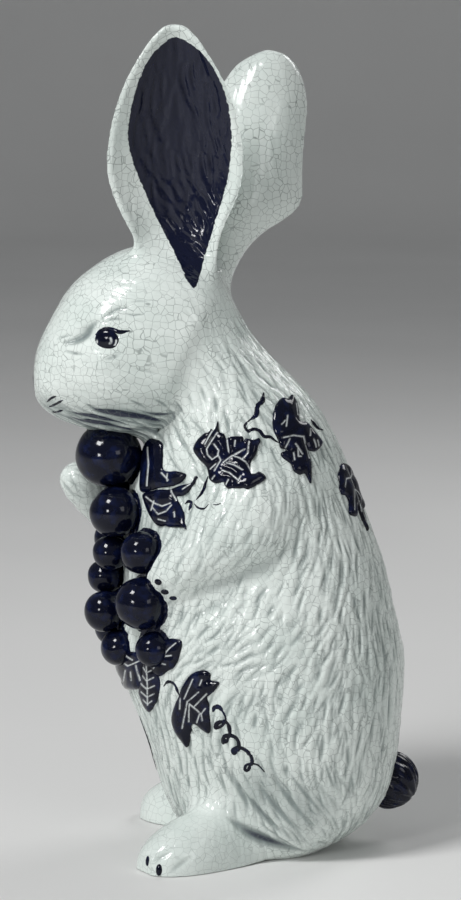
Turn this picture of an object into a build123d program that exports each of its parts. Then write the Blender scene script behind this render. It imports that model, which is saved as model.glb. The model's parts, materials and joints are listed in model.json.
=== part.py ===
from build123d import *
from math import cos, pi, radians, sin
import os

# A hollow glazed earthenware rabbit, sitting up and holding a bunch of grapes.
# The figure faces -Y, its left side is +X, and it stands on the plane Z = 0.
# Each clay piece is cast or modelled on its own and luted to its neighbour with slip,
# so every joint is one piece's face lying on the other's. All lengths are millimetres.

# Cast trunk: belly, back and shoulders, up to the neck seam
torso_height = 255.0
torso_depth = 136.0
torso_width = 114.0
shell_wall = 5.5
floor_thickness = 6.0
pour_hole_radius = 12.0
cut_overrun = 2.0
torso_egg_share = 0.18
head_egg_share = 0.06
ring_points = 12

# Trunk sections from the base to the neck seam. Each row holds the reach and height
# of its front and back points and its half width, as shares of the trunk's
# depth, height and width.
torso_section_shares = [
    (-0.14, 0.000, 0.37, 0.000, 0.33),
    (-0.17, 0.040, 0.49, 0.040, 0.40),
    (-0.22, 0.100, 0.58, 0.100, 0.46),
    (-0.28, 0.205, 0.62, 0.205, 0.50),
    (-0.36, 0.315, 0.635, 0.315, 0.50),
    (-0.38, 0.450, 0.60, 0.450, 0.475),
    (-0.36, 0.590, 0.53, 0.590, 0.43),
    (-0.335, 0.690, 0.42, 0.745, 0.39),
    (-0.29, 0.748, 0.28, 0.867, 0.34),
    (-0.255, 0.774, 0.145, 0.941, 0.30),
    (-0.22, 0.786, 0.07, 1.000, 0.28),
]

# Cast head, from the neck seam to the nose
head_length = 101.0
head_height = 93.0
head_width = 74.0

# Head sections from behind the ears to the muzzle. Each row holds the place of its
# lower and upper points from the throat, and its half width, as shares of the
# head's length, height and width.
head_section_shares = [
    (-0.045, -0.03, 0.25, 0.86, 0.47),
    (-0.075, -0.03, 0.02, 0.965, 0.50),
    (-0.20, -0.01, -0.20, 0.935, 0.49),
    (-0.32, 0.01, -0.32, 0.86, 0.45),
    (-0.43, 0.05, -0.43, 0.755, 0.385),
    (-0.51, 0.09, -0.51, 0.62, 0.305),
    (-0.57, 0.14, -0.57, 0.49, 0.215),
    (-0.60, 0.20, -0.60, 0.385, 0.12),
]
nose_tip_shares = (-0.615, 0.29)

# Ears: long dished leaves, set on the top of the head
ear_length = 118.5
ear_width = 63.0
ear_dish = 15.0
ear_wall = 5.5

# Ear sections from inside the head to the tip: the share of the length, of the width and of
# the dish's depth. The laid back ear has a thin stem and a broad blade.
upright_ear_section_shares = [
    (-0.07, 0.42, 0.70),
    (0.12, 0.66, 0.86),
    (0.29, 0.89, 1.00),
    (0.44, 1.02, 1.00),
    (0.58, 0.97, 0.95),
    (0.72, 0.825, 0.86),
    (0.84, 0.61, 0.74),
    (0.94, 0.36, 0.60),
    (1.00, 0.15, 0.50),
]
laid_back_ear_section_shares = [
    (-0.07, 0.22, 0.50),
    (0.04, 0.24, 0.60),
    (0.12, 0.28, 0.70),
    (0.20, 0.41, 0.86),
    (0.28, 0.64, 1.00),
    (0.37, 0.91, 1.00),
    (0.47, 0.91, 1.00),
    (0.58, 0.82, 0.95),
    (0.72, 0.735, 0.86),
    (0.84, 0.64, 0.74),
    (0.93, 0.47, 0.62),
    (0.98, 0.28, 0.52),
    (1.00, 0.14, 0.50),
]

# Where each ear is rooted, as shares of the head's half width, length and height from
# the throat, its share of the length, its sections, and how far it leans out and back,
# in degrees.
ear_places = {
    "left_ear": {
        "side": 1, "root_shares": (0.40, 0.07, 0.83), "length_share": 1.00,
        "section_shares": upright_ear_section_shares, "lean_out": 9.0, "lean_back": 0.0,
    },
    "right_ear": {
        "side": -1, "root_shares": (0.40, 0.265, 0.78), "length_share": 0.955,
        "section_shares": laid_back_ear_section_shares, "lean_out": 9.0, "lean_back": 14.5,
    },
}

# Forelegs: each row from inside the shoulder to the paw holds its place, as shares of
# the trunk's half width, depth and height, and its radius as a share of the thickest.
# The last row is the tip of the paw.
foreleg_radius = 30.0
foreleg_shares = {
    "left_foreleg": (1, [
        (0.12, 0.15, 0.695, 0.95),
        (0.44, 0.11, 0.663, 1.00),
        (0.62, 0.00, 0.603, 0.76),
        (0.61, -0.14, 0.553, 0.47),
        (0.54, -0.205, 0.527, 0.41),
        (0.50, -0.240, 0.513, 0.28),
        (0.475, -0.258, 0.505, 0.00),
    ]),
    "right_foreleg": (-1, [
        (0.12, 0.15, 0.690, 0.95),
        (0.44, 0.09, 0.655, 1.00),
        (0.60, -0.10, 0.585, 0.76),
        (0.50, -0.395, 0.600, 0.36),
        (0.33, -0.490, 0.660, 0.31),
        (0.28, -0.535, 0.695, 0.28),
        (0.26, -0.550, 0.718, 0.00),
    ]),
}

# Hind feet: heel to toe, splayed outwards, flat on the ground
foot_length = 80.0
foot_width = 36.0
foot_height = 29.0

# Each hind foot's side, its splay in degrees, and its heel's place, as shares of the
# trunk's half width and depth. The right one is turned out less.
foot_places = {
    "left_hind_foot": {"side": 1, "splay": 32.0, "heel_shares": (0.30, 0.22)},
    "right_hind_foot": {"side": -1, "splay": 20.0, "heel_shares": (0.30, 0.255)},
}

# Foot sections from the heel to the toe: the share of the length, width and height.
foot_section_shares = [
    (0.00, 0.55, 0.50),
    (0.18, 0.80, 0.85),
    (0.40, 0.95, 1.00),
    (0.62, 1.00, 0.90),
    (0.80, 0.95, 0.72),
    (0.93, 0.72, 0.52),
    (1.00, 0.36, 0.30),
]

# Tail: a round scut low on the back
tail_radius = 14.5
tail_length = 30.0
tail_place_shares = (0.59, 0.115)

# Vine leaves: thin slips of clay laid on the trunk
leaf_length = 36.0
leaf_width = 33.0
leaf_thickness = 2.2

# Leaf outline from the stalk: shares of the width and length, and each edge's swell
# as a share of the width.
leaf_outline_shares = [
    (0.00, 0.00),
    (0.50, 0.36),
    (0.22, 0.58),
    (0.00, 1.00),
    (-0.22, 0.58),
    (-0.50, 0.36),
]
leaf_swell_shares = (0.13, 0.05, 0.08, 0.08, 0.05, 0.13)

# Each leaf's bearing from the front towards the left side, the height of its stalk as
# a share of the trunk's height, its turn from upright and its size as a share.
leaf_place_shares = {
    "left_chest_leaf": (47, 0.735, 190, 0.85),
    "left_shoulder_leaf": (104, 0.800, 112, 1.05),
    "left_back_leaf": (146, 0.860, 176, 1.05),
    "nape_leaf": (163, 0.735, 185, 0.85),
    "left_flank_leaf": (61, 0.390, 165, 1.02),
    "bunch_leaf_top": (24, 0.778, 184, 0.80),
    "bunch_leaf_front": (18, 0.395, 184, 0.75),
    "bunch_leaf_middle": (38, 0.385, 178, 0.85),
    "bunch_leaf_left": (47, 0.395, 295, 0.66),
    "bunch_leaf_right": (-13, 0.392, 178, 0.85),
    "right_chest_leaf": (-52, 0.730, 172, 0.85),
    "right_shoulder_leaf": (-104, 0.800, 248, 1.05),
    "right_back_leaf": (-146, 0.860, 184, 1.05),
    "right_flank_leaf": (-64, 0.400, 195, 1.02),
}

# Grapes: rolled balls in a bunch down the breast. Each row holds the centre, as shares
# of the trunk's half width, depth and height, and the radius as a share of the largest.
grape_radius = 15.8
grape_shares = [
    (0.069, -0.408, 0.746, 1.000),
    (0.258, -0.385, 0.644, 0.759),
    (0.509, -0.289, 0.578, 0.633),
    (0.199, -0.401, 0.565, 0.532),
    (0.021, -0.423, 0.512, 0.525),
    (0.596, -0.274, 0.484, 0.835),
    (0.201, -0.424, 0.453, 0.608),
    (0.233, -0.373, 0.385, 0.557),
    (0.600, -0.245, 0.399, 0.544),
    (-0.129, -0.360, 0.657, 0.640),
    (-0.105, -0.396, 0.581, 0.582),
    (-0.271, -0.366, 0.516, 0.620),
    (-0.366, -0.394, 0.442, 0.608),
    (-0.592, -0.316, 0.487, 0.665),
    (-0.063, -0.395, 0.410, 0.582),
    (-0.520, -0.302, 0.404, 0.535),
]

os.makedirs("parts", exist_ok=True)


def section(front: Vector, back: Vector) -> tuple[Plane, float]:
    """The plane across the figure through two points of its middle, and their half distance."""
    across = back - front
    plane = Plane(origin=(front + back) / 2, x_dir=(1, 0, 0), z_dir=Vector(1, 0, 0).cross(across))
    return plane, across.length / 2


def torso_sections() -> list[tuple[Plane, float, float]]:
    """Each trunk section's plane, half width and half depth."""
    made = []
    for front_reach, front_rise, back_reach, back_rise, half_width in torso_section_shares:
        front = Vector(0, front_reach * torso_depth, front_rise * torso_height)
        back = Vector(0, back_reach * torso_depth, back_rise * torso_height)
        plane, half_depth = section(front, back)
        made.append((plane, half_width * torso_width, half_depth))
    return made


throat = Vector(0, torso_section_shares[-1][0] * torso_depth, torso_section_shares[-1][1] * torso_height)


def from_throat(reach_share: float, rise_share: float) -> Vector:
    """A point of the head's middle plane, from shares of the head's length and height."""
    return throat + Vector(0, reach_share * head_length, rise_share * head_height)


def head_sections() -> list[tuple[Plane, float, float]]:
    """Each head section's plane, half width and half height, starting with the neck seam."""
    made = [torso_sections()[-1]]
    for low_reach, low_rise, top_reach, top_rise, half_width in head_section_shares:
        plane, half_height = section(from_throat(low_reach, low_rise), from_throat(top_reach, top_rise))
        made.append((plane, half_width * head_width, half_height))
    return made


def between(rows: list[tuple[float, float]], place: float) -> float:
    """The value at a place in a rising list of (place, value) rows, on straight runs."""
    for (low, low_value), (high, high_value) in zip(rows, rows[1:]):
        if place <= high:
            return low_value + (high_value - low_value) * (place - low) / (high - low)
    return rows[-1][1]


def torso_ring(rise_share: float) -> tuple[float, float, float]:
    """The trunk's middle, half depth and half width at a share of its height."""
    front = between([(row[1], row[0] * torso_depth) for row in torso_section_shares], rise_share)
    back = between([(row[3], row[2] * torso_depth) for row in torso_section_shares], rise_share)
    half_width = between(
        [((row[1] + row[3]) / 2, row[4] * torso_width) for row in torso_section_shares], rise_share
    )
    return (front + back) / 2, (back - front) / 2, half_width


def torso_surface(bearing: float, rise_share: float) -> Vector:
    """A point on the trunk at a bearing and height."""
    middle, half_depth, half_width = torso_ring(rise_share)
    turn = radians(bearing)
    egg = 1 - torso_egg_share * cos(turn)
    return Vector(half_width * sin(turn) * egg, middle - half_depth * cos(turn), rise_share * torso_height)


def ring(plane: Plane, half_width: float, half_depth: float, egg_share: float) -> Sketch:
    """A closed section on a plane, egg shaped, with its narrow end towards the plane's -Y."""
    turns = [2 * pi * index / ring_points for index in range(ring_points)]
    points = [(half_width * sin(t) * (1 - egg_share * cos(t)), -half_depth * cos(t)) for t in turns]
    with BuildSketch(plane) as drawn:
        with BuildLine():
            Spline(*points, periodic=True)
        make_face()
    return drawn.sketch


def inner_ring(plane: Plane, half_width: float, half_depth: float, egg_share: float) -> Sketch:
    """The same section, one shell wall further in."""
    return ring(plane, half_width - shell_wall, half_depth - shell_wall, egg_share)


def boxes_meet(a: BoundBox, b: BoundBox) -> bool:
    """Whether two bounding boxes overlap, so that one piece may need cutting by the other."""
    level = a.min.X <= b.max.X and b.min.X <= a.max.X and a.min.Y <= b.max.Y and b.min.Y <= a.max.Y
    return level and a.min.Z <= b.max.Z and b.min.Z <= a.max.Z


def finish(piece: BuildPart, name: str) -> None:
    """Labels a finished piece and writes its file."""
    piece.part.label = name
    export_step(piece.part, f"parts/{name}.step")


# Outer form of the trunk, which the shell and every piece laid on it share
with BuildPart() as torso_form:
    loft(sections=[ring(*row, torso_egg_share) for row in torso_sections()])

# Trunk shell: open at the neck seam, with a floor and a pour hole
base_plane, base_half_width, base_half_depth = torso_sections()[0]
seam_plane, seam_half_width, seam_half_depth = torso_sections()[-1]
with BuildPart() as torso_shell:
    add(torso_form.part)
    floor_row = (base_plane.offset(floor_thickness), base_half_width, base_half_depth)
    mouth_row = (seam_plane.offset(cut_overrun), seam_half_width, seam_half_depth)
    cavity_rows = [floor_row, *torso_sections()[1:], mouth_row]
    loft(sections=[inner_ring(*row, torso_egg_share) for row in cavity_rows], mode=Mode.SUBTRACT)
    with BuildSketch(base_plane.offset(-cut_overrun)):
        Circle(pour_hole_radius)
    extrude(amount=floor_thickness + 2 * cut_overrun, mode=Mode.SUBTRACT)
finish(torso_shell, "torso_shell")

# Outer form of the head
with BuildPart() as head_form:
    nose_tip = Vertex(*from_throat(*nose_tip_shares))
    loft(sections=[*(ring(*row, head_egg_share) for row in head_sections()), nose_tip])

# Head shell: hollow from the neck seam to the muzzle
with BuildPart() as head_shell:
    add(head_form.part)
    mouth_row = (seam_plane.offset(-cut_overrun), seam_half_width, seam_half_depth)
    cavity_rows = [mouth_row, *head_sections()[1:-2]]
    loft(sections=[inner_ring(*row, head_egg_share) for row in cavity_rows], mode=Mode.SUBTRACT)
finish(head_shell, "head_shell")

# Ears
for name, place in ear_places.items():
    root_out, root_back, root_up = place["root_shares"]
    side = place["side"]
    root = from_throat(root_back, root_up) + Vector(side * root_out * head_width / 2, 0, 0)
    lean = Location(root, (-place["lean_back"], side * place["lean_out"], 0))
    with BuildPart() as ear:
        for along_share, width_share, dish_share in place["section_shares"]:
            level = Plane(lean).offset(along_share * place["length_share"] * ear_length)
            half_width = width_share * ear_width / 2
            dish = dish_share * ear_dish
            inner_half_width = half_width - ear_wall / 2
            with BuildSketch(Plane(level.origin, x_dir=side * level.y_dir, z_dir=level.z_dir)):
                with BuildLine():
                    back = ThreePointArc((-half_width, 0), (0, dish), (half_width, 0))
                    bowl = ThreePointArc((inner_half_width, 0), (0, dish - ear_wall), (-inner_half_width, 0))
                    Line(back @ 1, bowl @ 0)
                    Line(bowl @ 1, back @ 0)
                make_face()
        loft()
        add(head_form.part, mode=Mode.SUBTRACT)
    finish(ear, name)

# Forelegs
forelegs = []
for name, (side, rows) in foreleg_shares.items():
    joints = [
        Vector(side * out * torso_width / 2, reach * torso_depth, rise * torso_height)
        for out, reach, rise, radius_share in rows
    ]
    rings = []
    for index, row in enumerate(rows[:-1]):
        heading = joints[index + 1] - joints[max(index - 1, 0)]
        level_dir = heading.cross(Vector(0, 0, 1))
        radius = row[-1] * foreleg_radius
        rings.append(ring(Plane(joints[index], x_dir=level_dir, z_dir=heading), radius, radius, 0))
    with BuildPart() as foreleg:
        loft(sections=[*rings, Vertex(joints[-1])])
        add(torso_form.part, mode=Mode.SUBTRACT)
    finish(foreleg, name)
    forelegs.append(foreleg.part)

# Hind feet
for name, place in foot_places.items():
    side, splay = place["side"], radians(place["splay"])
    heel_out, heel_back = place["heel_shares"]
    heel = Vector(side * heel_out * torso_width / 2, heel_back * torso_depth, 0)
    toe_dir = Vector(side * sin(splay), -cos(splay), 0)
    with BuildPart() as foot:
        for length_share, width_share, height_share in foot_section_shares:
            station = heel + toe_dir * length_share * foot_length
            with BuildSketch(Plane(station, x_dir=toe_dir.cross(Vector(0, 0, 1)), z_dir=toe_dir)):
                Ellipse(width_share * foot_width / 2, height_share * foot_height)
        loft()
        split(bisect_by=Plane.XY, keep=Keep.TOP)
        add(torso_form.part, mode=Mode.SUBTRACT)
    finish(foot, name)

# Tail
with BuildPart() as tail:
    tail_back, tail_up = tail_place_shares
    tail_centre = (0, tail_back * torso_depth, tail_up * torso_height)
    with BuildSketch(Plane.YZ.shift_origin(tail_centre)):
        Ellipse(tail_length / 2, tail_radius)
        split(bisect_by=Plane.XZ, keep=Keep.TOP)
    revolve(axis=Axis(tail_centre, (0, 1, 0)))
    add(torso_form.part, mode=Mode.SUBTRACT)
finish(tail, "tail")

# Skin of leaf thickness over the trunk, from which the leaves are cut
with BuildPart() as leaf_skin:
    skin_rows = [
        (plane, half_width + leaf_thickness, half_depth + leaf_thickness)
        for plane, half_width, half_depth in torso_sections()
    ]
    loft(sections=[ring(*row, torso_egg_share) for row in skin_rows])
    add(torso_form.part, mode=Mode.SUBTRACT)

# Pieces already laid on the trunk, with their boxes, which cut those laid after them
laid_pieces = [(part, part.bounding_box()) for part in (head_form.part, *forelegs)]

# Vine leaves
for name, (bearing, rise_share, turn, size_share) in leaf_place_shares.items():
    point = torso_surface(bearing, rise_share)
    middle = torso_ring(rise_share)[0]
    ray = Vector(point.X, point.Y - middle, 0)
    level_dir = Vector(0, 0, 1).cross(ray).rotate(Axis((0, 0, 0), ray), turn)
    core = Plane((0, middle, rise_share * torso_height), x_dir=level_dir, z_dir=ray)
    with BuildPart() as leaf:
        with BuildSketch(core):
            with BuildLine():
                corners = [
                    Vector(x * leaf_width * size_share, y * leaf_length * size_share)
                    for x, y in leaf_outline_shares
                ]
                for index, swell in enumerate(leaf_swell_shares):
                    start, end = corners[index], corners[(index + 1) % len(corners)]
                    SagittaArc(start, end, -swell * leaf_width * size_share)
            make_face()
        extrude(amount=torso_width)
        add(leaf_skin.part, mode=Mode.INTERSECT)
        leaf_box = leaf.part.bounding_box()
        for neighbour, neighbour_box in laid_pieces:
            if boxes_meet(leaf_box, neighbour_box):
                add(neighbour, mode=Mode.SUBTRACT)
    finish(leaf, name)
    laid_pieces.append((leaf.part, leaf_box))

# Grapes, each cut by whatever it is pressed against
for number, (out, reach, rise, radius_share) in enumerate(grape_shares, 1):
    centre = Vector(out * torso_width / 2, reach * torso_depth, rise * torso_height)
    radius = radius_share * grape_radius
    outward = Vector(centre.X, centre.Y, 0)
    with BuildPart() as grape:
        with Locations(Plane(centre, x_dir=outward, z_dir=(0, 0, 1))):
            Sphere(radius)
        add(torso_form.part, mode=Mode.SUBTRACT)
        grape_box = grape.part.bounding_box()
        for neighbour, neighbour_box in laid_pieces:
            if boxes_meet(grape_box, neighbour_box) and neighbour.distance_to(Vertex(centre)) < radius:
                add(neighbour, mode=Mode.SUBTRACT)
    finish(grape, f"grape_{number:02d}")
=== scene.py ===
"""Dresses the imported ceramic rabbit: crackle skin, vine leaves, grapes, tail and painted lines."""

import json
import logging
import math
from dataclasses import dataclass
from enum import Enum

import bmesh
import bpy
import numpy as np
from mathutils import Matrix, Vector
from mathutils.bvhtree import BVHTree
from mathutils.geometry import delaunay_2d_cdt
from mathutils.kdtree import KDTree

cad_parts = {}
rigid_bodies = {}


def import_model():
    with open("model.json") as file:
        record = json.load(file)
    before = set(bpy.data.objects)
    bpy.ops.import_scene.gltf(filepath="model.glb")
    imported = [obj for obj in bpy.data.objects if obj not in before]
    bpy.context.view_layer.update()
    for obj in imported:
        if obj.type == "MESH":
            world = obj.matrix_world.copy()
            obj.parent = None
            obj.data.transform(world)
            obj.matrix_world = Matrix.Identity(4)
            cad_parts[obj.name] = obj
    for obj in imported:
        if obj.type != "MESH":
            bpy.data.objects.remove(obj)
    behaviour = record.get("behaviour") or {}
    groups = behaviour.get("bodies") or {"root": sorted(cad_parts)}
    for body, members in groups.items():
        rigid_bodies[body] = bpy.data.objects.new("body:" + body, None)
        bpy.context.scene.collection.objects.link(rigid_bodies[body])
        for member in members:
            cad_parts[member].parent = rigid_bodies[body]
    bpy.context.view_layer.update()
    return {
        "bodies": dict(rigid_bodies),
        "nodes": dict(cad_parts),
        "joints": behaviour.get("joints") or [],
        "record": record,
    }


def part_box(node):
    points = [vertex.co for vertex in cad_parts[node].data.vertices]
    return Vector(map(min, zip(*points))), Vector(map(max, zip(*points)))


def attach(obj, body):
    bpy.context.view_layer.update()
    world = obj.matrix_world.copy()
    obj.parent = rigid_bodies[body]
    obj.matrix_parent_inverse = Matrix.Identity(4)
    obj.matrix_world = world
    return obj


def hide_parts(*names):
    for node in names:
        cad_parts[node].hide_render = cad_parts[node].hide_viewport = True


Colour = tuple[float, float, float, float]
FlatPath = tuple[tuple[float, float], ...]

LOG = logging.getLogger("rabbit")
MM = 0.001
PIXEL = 0.48 * MM
BODY = "root"
SEED = 20
UP = Vector((0.0, 0.0, 1.0))
TINY = 1e-6
TINY_SQUARED = 1e-18

TORSO_HEIGHT = 255.0 * MM
TORSO_DEPTH = 136.0 * MM
TORSO_HALF_WIDTH = 57.0 * MM
POUR_HOLE_CENTRE = Vector((0.0, 15.6 * MM, 0.0))
POUR_HOLE_RADIUS = 12.0 * MM
FLOOR_THICKNESS = 6.0 * MM


class Slot(str, Enum):
    """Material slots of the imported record."""

    WHITE = "white_crackle_glaze"
    COBALT = "cobalt_glaze"


class Node(str, Enum):
    """CAD nodes that the white skin covers."""

    TORSO = "torso_shell"
    HEAD = "head_shell"
    LEFT_EAR = "left_ear"
    RIGHT_EAR = "right_ear"
    LEFT_FORELEG = "left_foreleg"
    RIGHT_FORELEG = "right_foreleg"
    LEFT_FOOT = "left_hind_foot"
    RIGHT_FOOT = "right_hind_foot"


@dataclass(frozen=True)
class PhotoView:
    """The camera of the photograph, which also carries its pixels onto the model.

    Args:
        place: where the camera stands, in metres.
        aim: the point it looks at.
        lens: focal length in millimetres, on a sensor as tall as the picture.
        sensor: the sensor's height in millimetres.
        width: the picture's width in pixels.
        height: the picture's height in pixels.
    """

    place: Vector = Vector((1.45, 2.9 * MM, 410.0 * MM))
    aim: Vector = Vector((0.0, 2.9 * MM, 192.0 * MM))
    lens: float = 122.2
    sensor: float = 36.0
    width: int = 461
    height: int = 900

    def ray(self, across: float, down: float) -> Vector:
        """The direction in which a pixel of the photograph looks.

        Args:
            across: pixels from the left edge.
            down: pixels from the top edge.

        Returns:
            A unit vector.
        """
        forward = (self.aim - self.place).normalized()
        right = forward.cross(UP).normalized()
        up = right.cross(forward)
        scale = self.sensor / self.lens / self.height
        way = forward + right * (across - self.width / 2) * scale + up * (self.height / 2 - down) * scale
        return way.normalized()


VIEW = PhotoView()


# Finishes
@dataclass(frozen=True)
class Span:
    """A range of values and the range that it is smoothly carried onto, from low to start and high to end."""

    low: float
    high: float
    start: float
    end: float


@dataclass(frozen=True)
class Mottle:
    """A noise of a scale and detail, and the span that its values are carried over."""

    scale: float
    span: Span
    detail: float = 2.0


class Shader:
    """A short way to write a node material."""

    def __init__(self, name: str) -> None:
        """Starts a material.

        Args:
            name: the material's name.
        """
        self.material = bpy.data.materials.new(name)
        self.material.use_nodes = True
        self.tree = self.material.node_tree
        self.tree.nodes.clear()
        output = self.add("ShaderNodeOutputMaterial")
        self.surface = self.add("ShaderNodeBsdfPrincipled")
        self.feed(output.inputs["Surface"], self.surface.outputs["BSDF"])
        self.place = self.add("ShaderNodeTexCoord").outputs["Object"]

    def feed(self, socket: bpy.types.NodeSocket, value: object) -> None:
        """Links an output to a socket, or sets the socket's value.

        Args:
            socket: the input.
            value: another node's output, or a number or colour.
        """
        if isinstance(value, bpy.types.NodeSocket):
            self.tree.links.new(value, socket)
        else:
            socket.default_value = value

    def add(self, kind: str, sockets: dict | None = None, **values: object) -> bpy.types.Node:
        """Adds a node.

        Args:
            kind: the node's type name.
            sockets: what its inputs are fed with, by name or number.
            **values: its properties.

        Returns:
            The node.
        """
        made = self.tree.nodes.new(kind)
        for key, value in values.items():
            setattr(made, key, value)
        for key, value in (sockets or {}).items():
            self.feed(made.inputs[key], value)
        return made

    def math(self, operation: str, first: object, second: object) -> bpy.types.NodeSocket:
        """A Math node on two values or outputs."""
        return self.add("ShaderNodeMath", {0: first, 1: second}, operation=operation).outputs[0]

    def spread(self, value: object, span: Span) -> bpy.types.NodeSocket:
        """A smooth, clamped Map Range over a span."""
        sockets = dict(enumerate((value, span.low, span.high, span.start, span.end)))
        return self.add("ShaderNodeMapRange", sockets, interpolation_type="SMOOTHSTEP").outputs[0]

    def noise(self, scale: float, detail: float = 2.0, output: str = "Fac") -> bpy.types.NodeSocket:
        """An output of a Noise texture on the object's own coordinates."""
        sockets = {"Vector": self.place, "Scale": scale, "Detail": detail}
        return self.add("ShaderNodeTexNoise", sockets).outputs[output]

    def mottle(self, mottle: Mottle) -> bpy.types.NodeSocket:
        """A noise carried over its span."""
        return self.spread(self.noise(mottle.scale, mottle.detail), mottle.span)

    def mix(self, share: object, first: object, second: object) -> bpy.types.NodeSocket:
        """Mixes two colours by a share of the second, on the Mix node's colour sockets."""
        return self.add("ShaderNodeMix", {0: share, 6: first, 7: second}, data_type="RGBA").outputs[2]

    def mark(self, name: str) -> bpy.types.NodeSocket:
        """A float attribute of the mesh."""
        return self.add("ShaderNodeAttribute", attribute_name=name).outputs["Fac"]

    def bump(self, height: object, strength: float, distance: float) -> None:
        """Feeds a height to the surface's normal, with the distance in metres."""
        made = self.add("ShaderNodeBump", {"Strength": strength, "Distance": distance, "Height": height})
        self.feed(self.surface.inputs["Normal"], made.outputs["Normal"])

    def finish(self, colour: object, roughness: object, gloss: float) -> bpy.types.Material:
        """Feeds the surface.

        Args:
            colour: its colour.
            roughness: its roughness.
            gloss: how strongly it mirrors, where 0.5 is plain glass.

        Returns:
            The finished material.
        """
        values = {"Base Color": colour, "Roughness": roughness, "IOR": 1.5, "Specular IOR Level": gloss}
        for key, value in values.items():
            self.feed(self.surface.inputs[key], value)
        return self.material


@dataclass(frozen=True)
class WhiteGlaze:
    """Milky glaze with a net of grey cracks, grey pooling in the carved grooves and painted shade where shade
    falls on the figure.
    """

    colour: Colour = (0.775, 0.835, 0.80, 1.0)
    cloud: Colour = (0.67, 0.74, 0.705, 1.0)
    # Stain: grey glaze pooled in grooves, and painted shade under the jaw, brow, forearm and haunch. Pool: a
    # near black painted shadow along the jaw and between foot and body, with some cobalt pooling.
    stain_and_shade: Colour = (0.185, 0.230, 0.225, 1.0)
    crack: Colour = (0.155, 0.185, 0.18, 1.0)
    deep_pool_and_shadow: Colour = (0.018, 0.022, 0.050, 1.0)
    paint: Colour = (0.004, 0.006, 0.022, 1.0)
    clouds: Mottle = Mottle(34.0, Span(0.35, 0.7, 0.0, 1.0), 4.0)
    stained_and_shaded: Span = Span(0.08, 0.85, 0.0, 0.80)
    deep_pooled_and_shadowed: Span = Span(0.80, 1.25, 0.0, 0.94)
    cell: float = 3.6 * MM
    line: float = 0.045
    fine_cell: float = 2.3 * MM
    fine_line: float = 0.05
    line_core: float = 0.25
    randomness: float = 0.66
    bend_scale: float = 140.0
    bend_reach: float = 2.2 * MM
    fine_patches: Mottle = Mottle(28.0, Span(0.52, 0.70, 0.0, 0.4))
    fade: Mottle = Mottle(55.0, Span(0.30, 0.62, 0.35, 1.0))
    lines_on_fur: Span = Span(0.1, 0.9, 0.66, 0.54)
    lines_on_feet: Span = Span(0.0, 1.0, 1.0, 0.5)
    line_depth: float = 0.12
    ragged_scale: float = 420.0
    ragged_reach: float = 1.6 * MM
    painted: Span = Span(-0.15 * MM, 0.15 * MM, 0.0, 1.0)
    grain: Mottle = Mottle(900.0, Span(0.3, 0.7, 0.07, 0.16))
    gloss: float = 0.36
    ripple_scale: float = 260.0
    ripple_height: float = 0.35
    bump_strength: float = 0.35
    bump_reach: float = 0.6 * MM

    def cracks(self, shader: Shader, place: object, cell: float, line: float) -> bpy.types.NodeSocket:
        """A net of crack lines.

        Args:
            shader: the material.
            place: coordinates.
            cell: size of a cell in metres.
            line: the lines' half width, as a share of a cell.

        Returns:
            1 on a line and 0 away from it.
        """
        sockets = {"Vector": place, "Scale": 1 / cell, "Randomness": self.randomness}
        net = shader.add("ShaderNodeTexVoronoi", sockets, feature="DISTANCE_TO_EDGE")
        return shader.spread(net.outputs["Distance"], Span(line * self.line_core, line, 1.0, 0.0))

    def build(self) -> bpy.types.Material:
        """Makes the material.

        Returns:
            The white crackle glaze.
        """
        shader = Shader("white_crackle")
        bend = {0: shader.noise(self.bend_scale, 1.0, "Color"), "Scale": self.bend_reach}
        shift = shader.add("ShaderNodeVectorMath", bend, operation="SCALE").outputs[0]
        moved = {0: shader.place, 1: shift}
        place = shader.add("ShaderNodeVectorMath", moved, operation="ADD").outputs[0]
        wide = self.cracks(shader, place, self.cell, self.line)
        fine = self.cracks(shader, place, self.fine_cell, self.fine_line)
        fine = shader.math("MULTIPLY", fine, shader.mottle(self.fine_patches))
        lines = shader.math("MULTIPLY", shader.math("MAXIMUM", wide, fine), shader.mottle(self.fade))
        pooling_and_shade = shader.mark("pooling_and_shade")
        colour = shader.mix(shader.mottle(self.clouds), self.colour, self.cloud)
        # Grey pooling and painted shade, then the near black painted shadow, both driven by the pooling and
        # shade mark.
        colour = shader.mix(shader.spread(pooling_and_shade, self.stained_and_shaded), colour, self.stain_and_shade)
        colour = shader.mix(shader.spread(pooling_and_shade, self.deep_pooled_and_shadowed), colour, self.deep_pool_and_shadow)
        strength = shader.spread(shader.mark("fur"), self.lines_on_fur)
        on_feet = shader.spread(shader.mark("faint"), self.lines_on_feet)
        strength = shader.math("MULTIPLY", strength, on_feet)
        colour = shader.mix(shader.math("MULTIPLY", lines, strength), colour, self.crack)
        ragged = shader.math("SUBTRACT", shader.noise(self.ragged_scale, 3.0), 0.5)
        ragged = shader.math("MULTIPLY", ragged, self.ragged_reach)
        edge = shader.math("ADD", shader.mark("paint"), ragged)
        colour = shader.mix(shader.spread(edge, self.painted), colour, self.paint)
        ripple = shader.math("MULTIPLY", shader.noise(self.ripple_scale), self.ripple_height)
        height = shader.math("SUBTRACT", ripple, shader.math("MULTIPLY", lines, self.line_depth))
        shader.bump(height, self.bump_strength, self.bump_reach)
        return shader.finish(colour, shader.mottle(self.grain), self.gloss)


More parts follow.
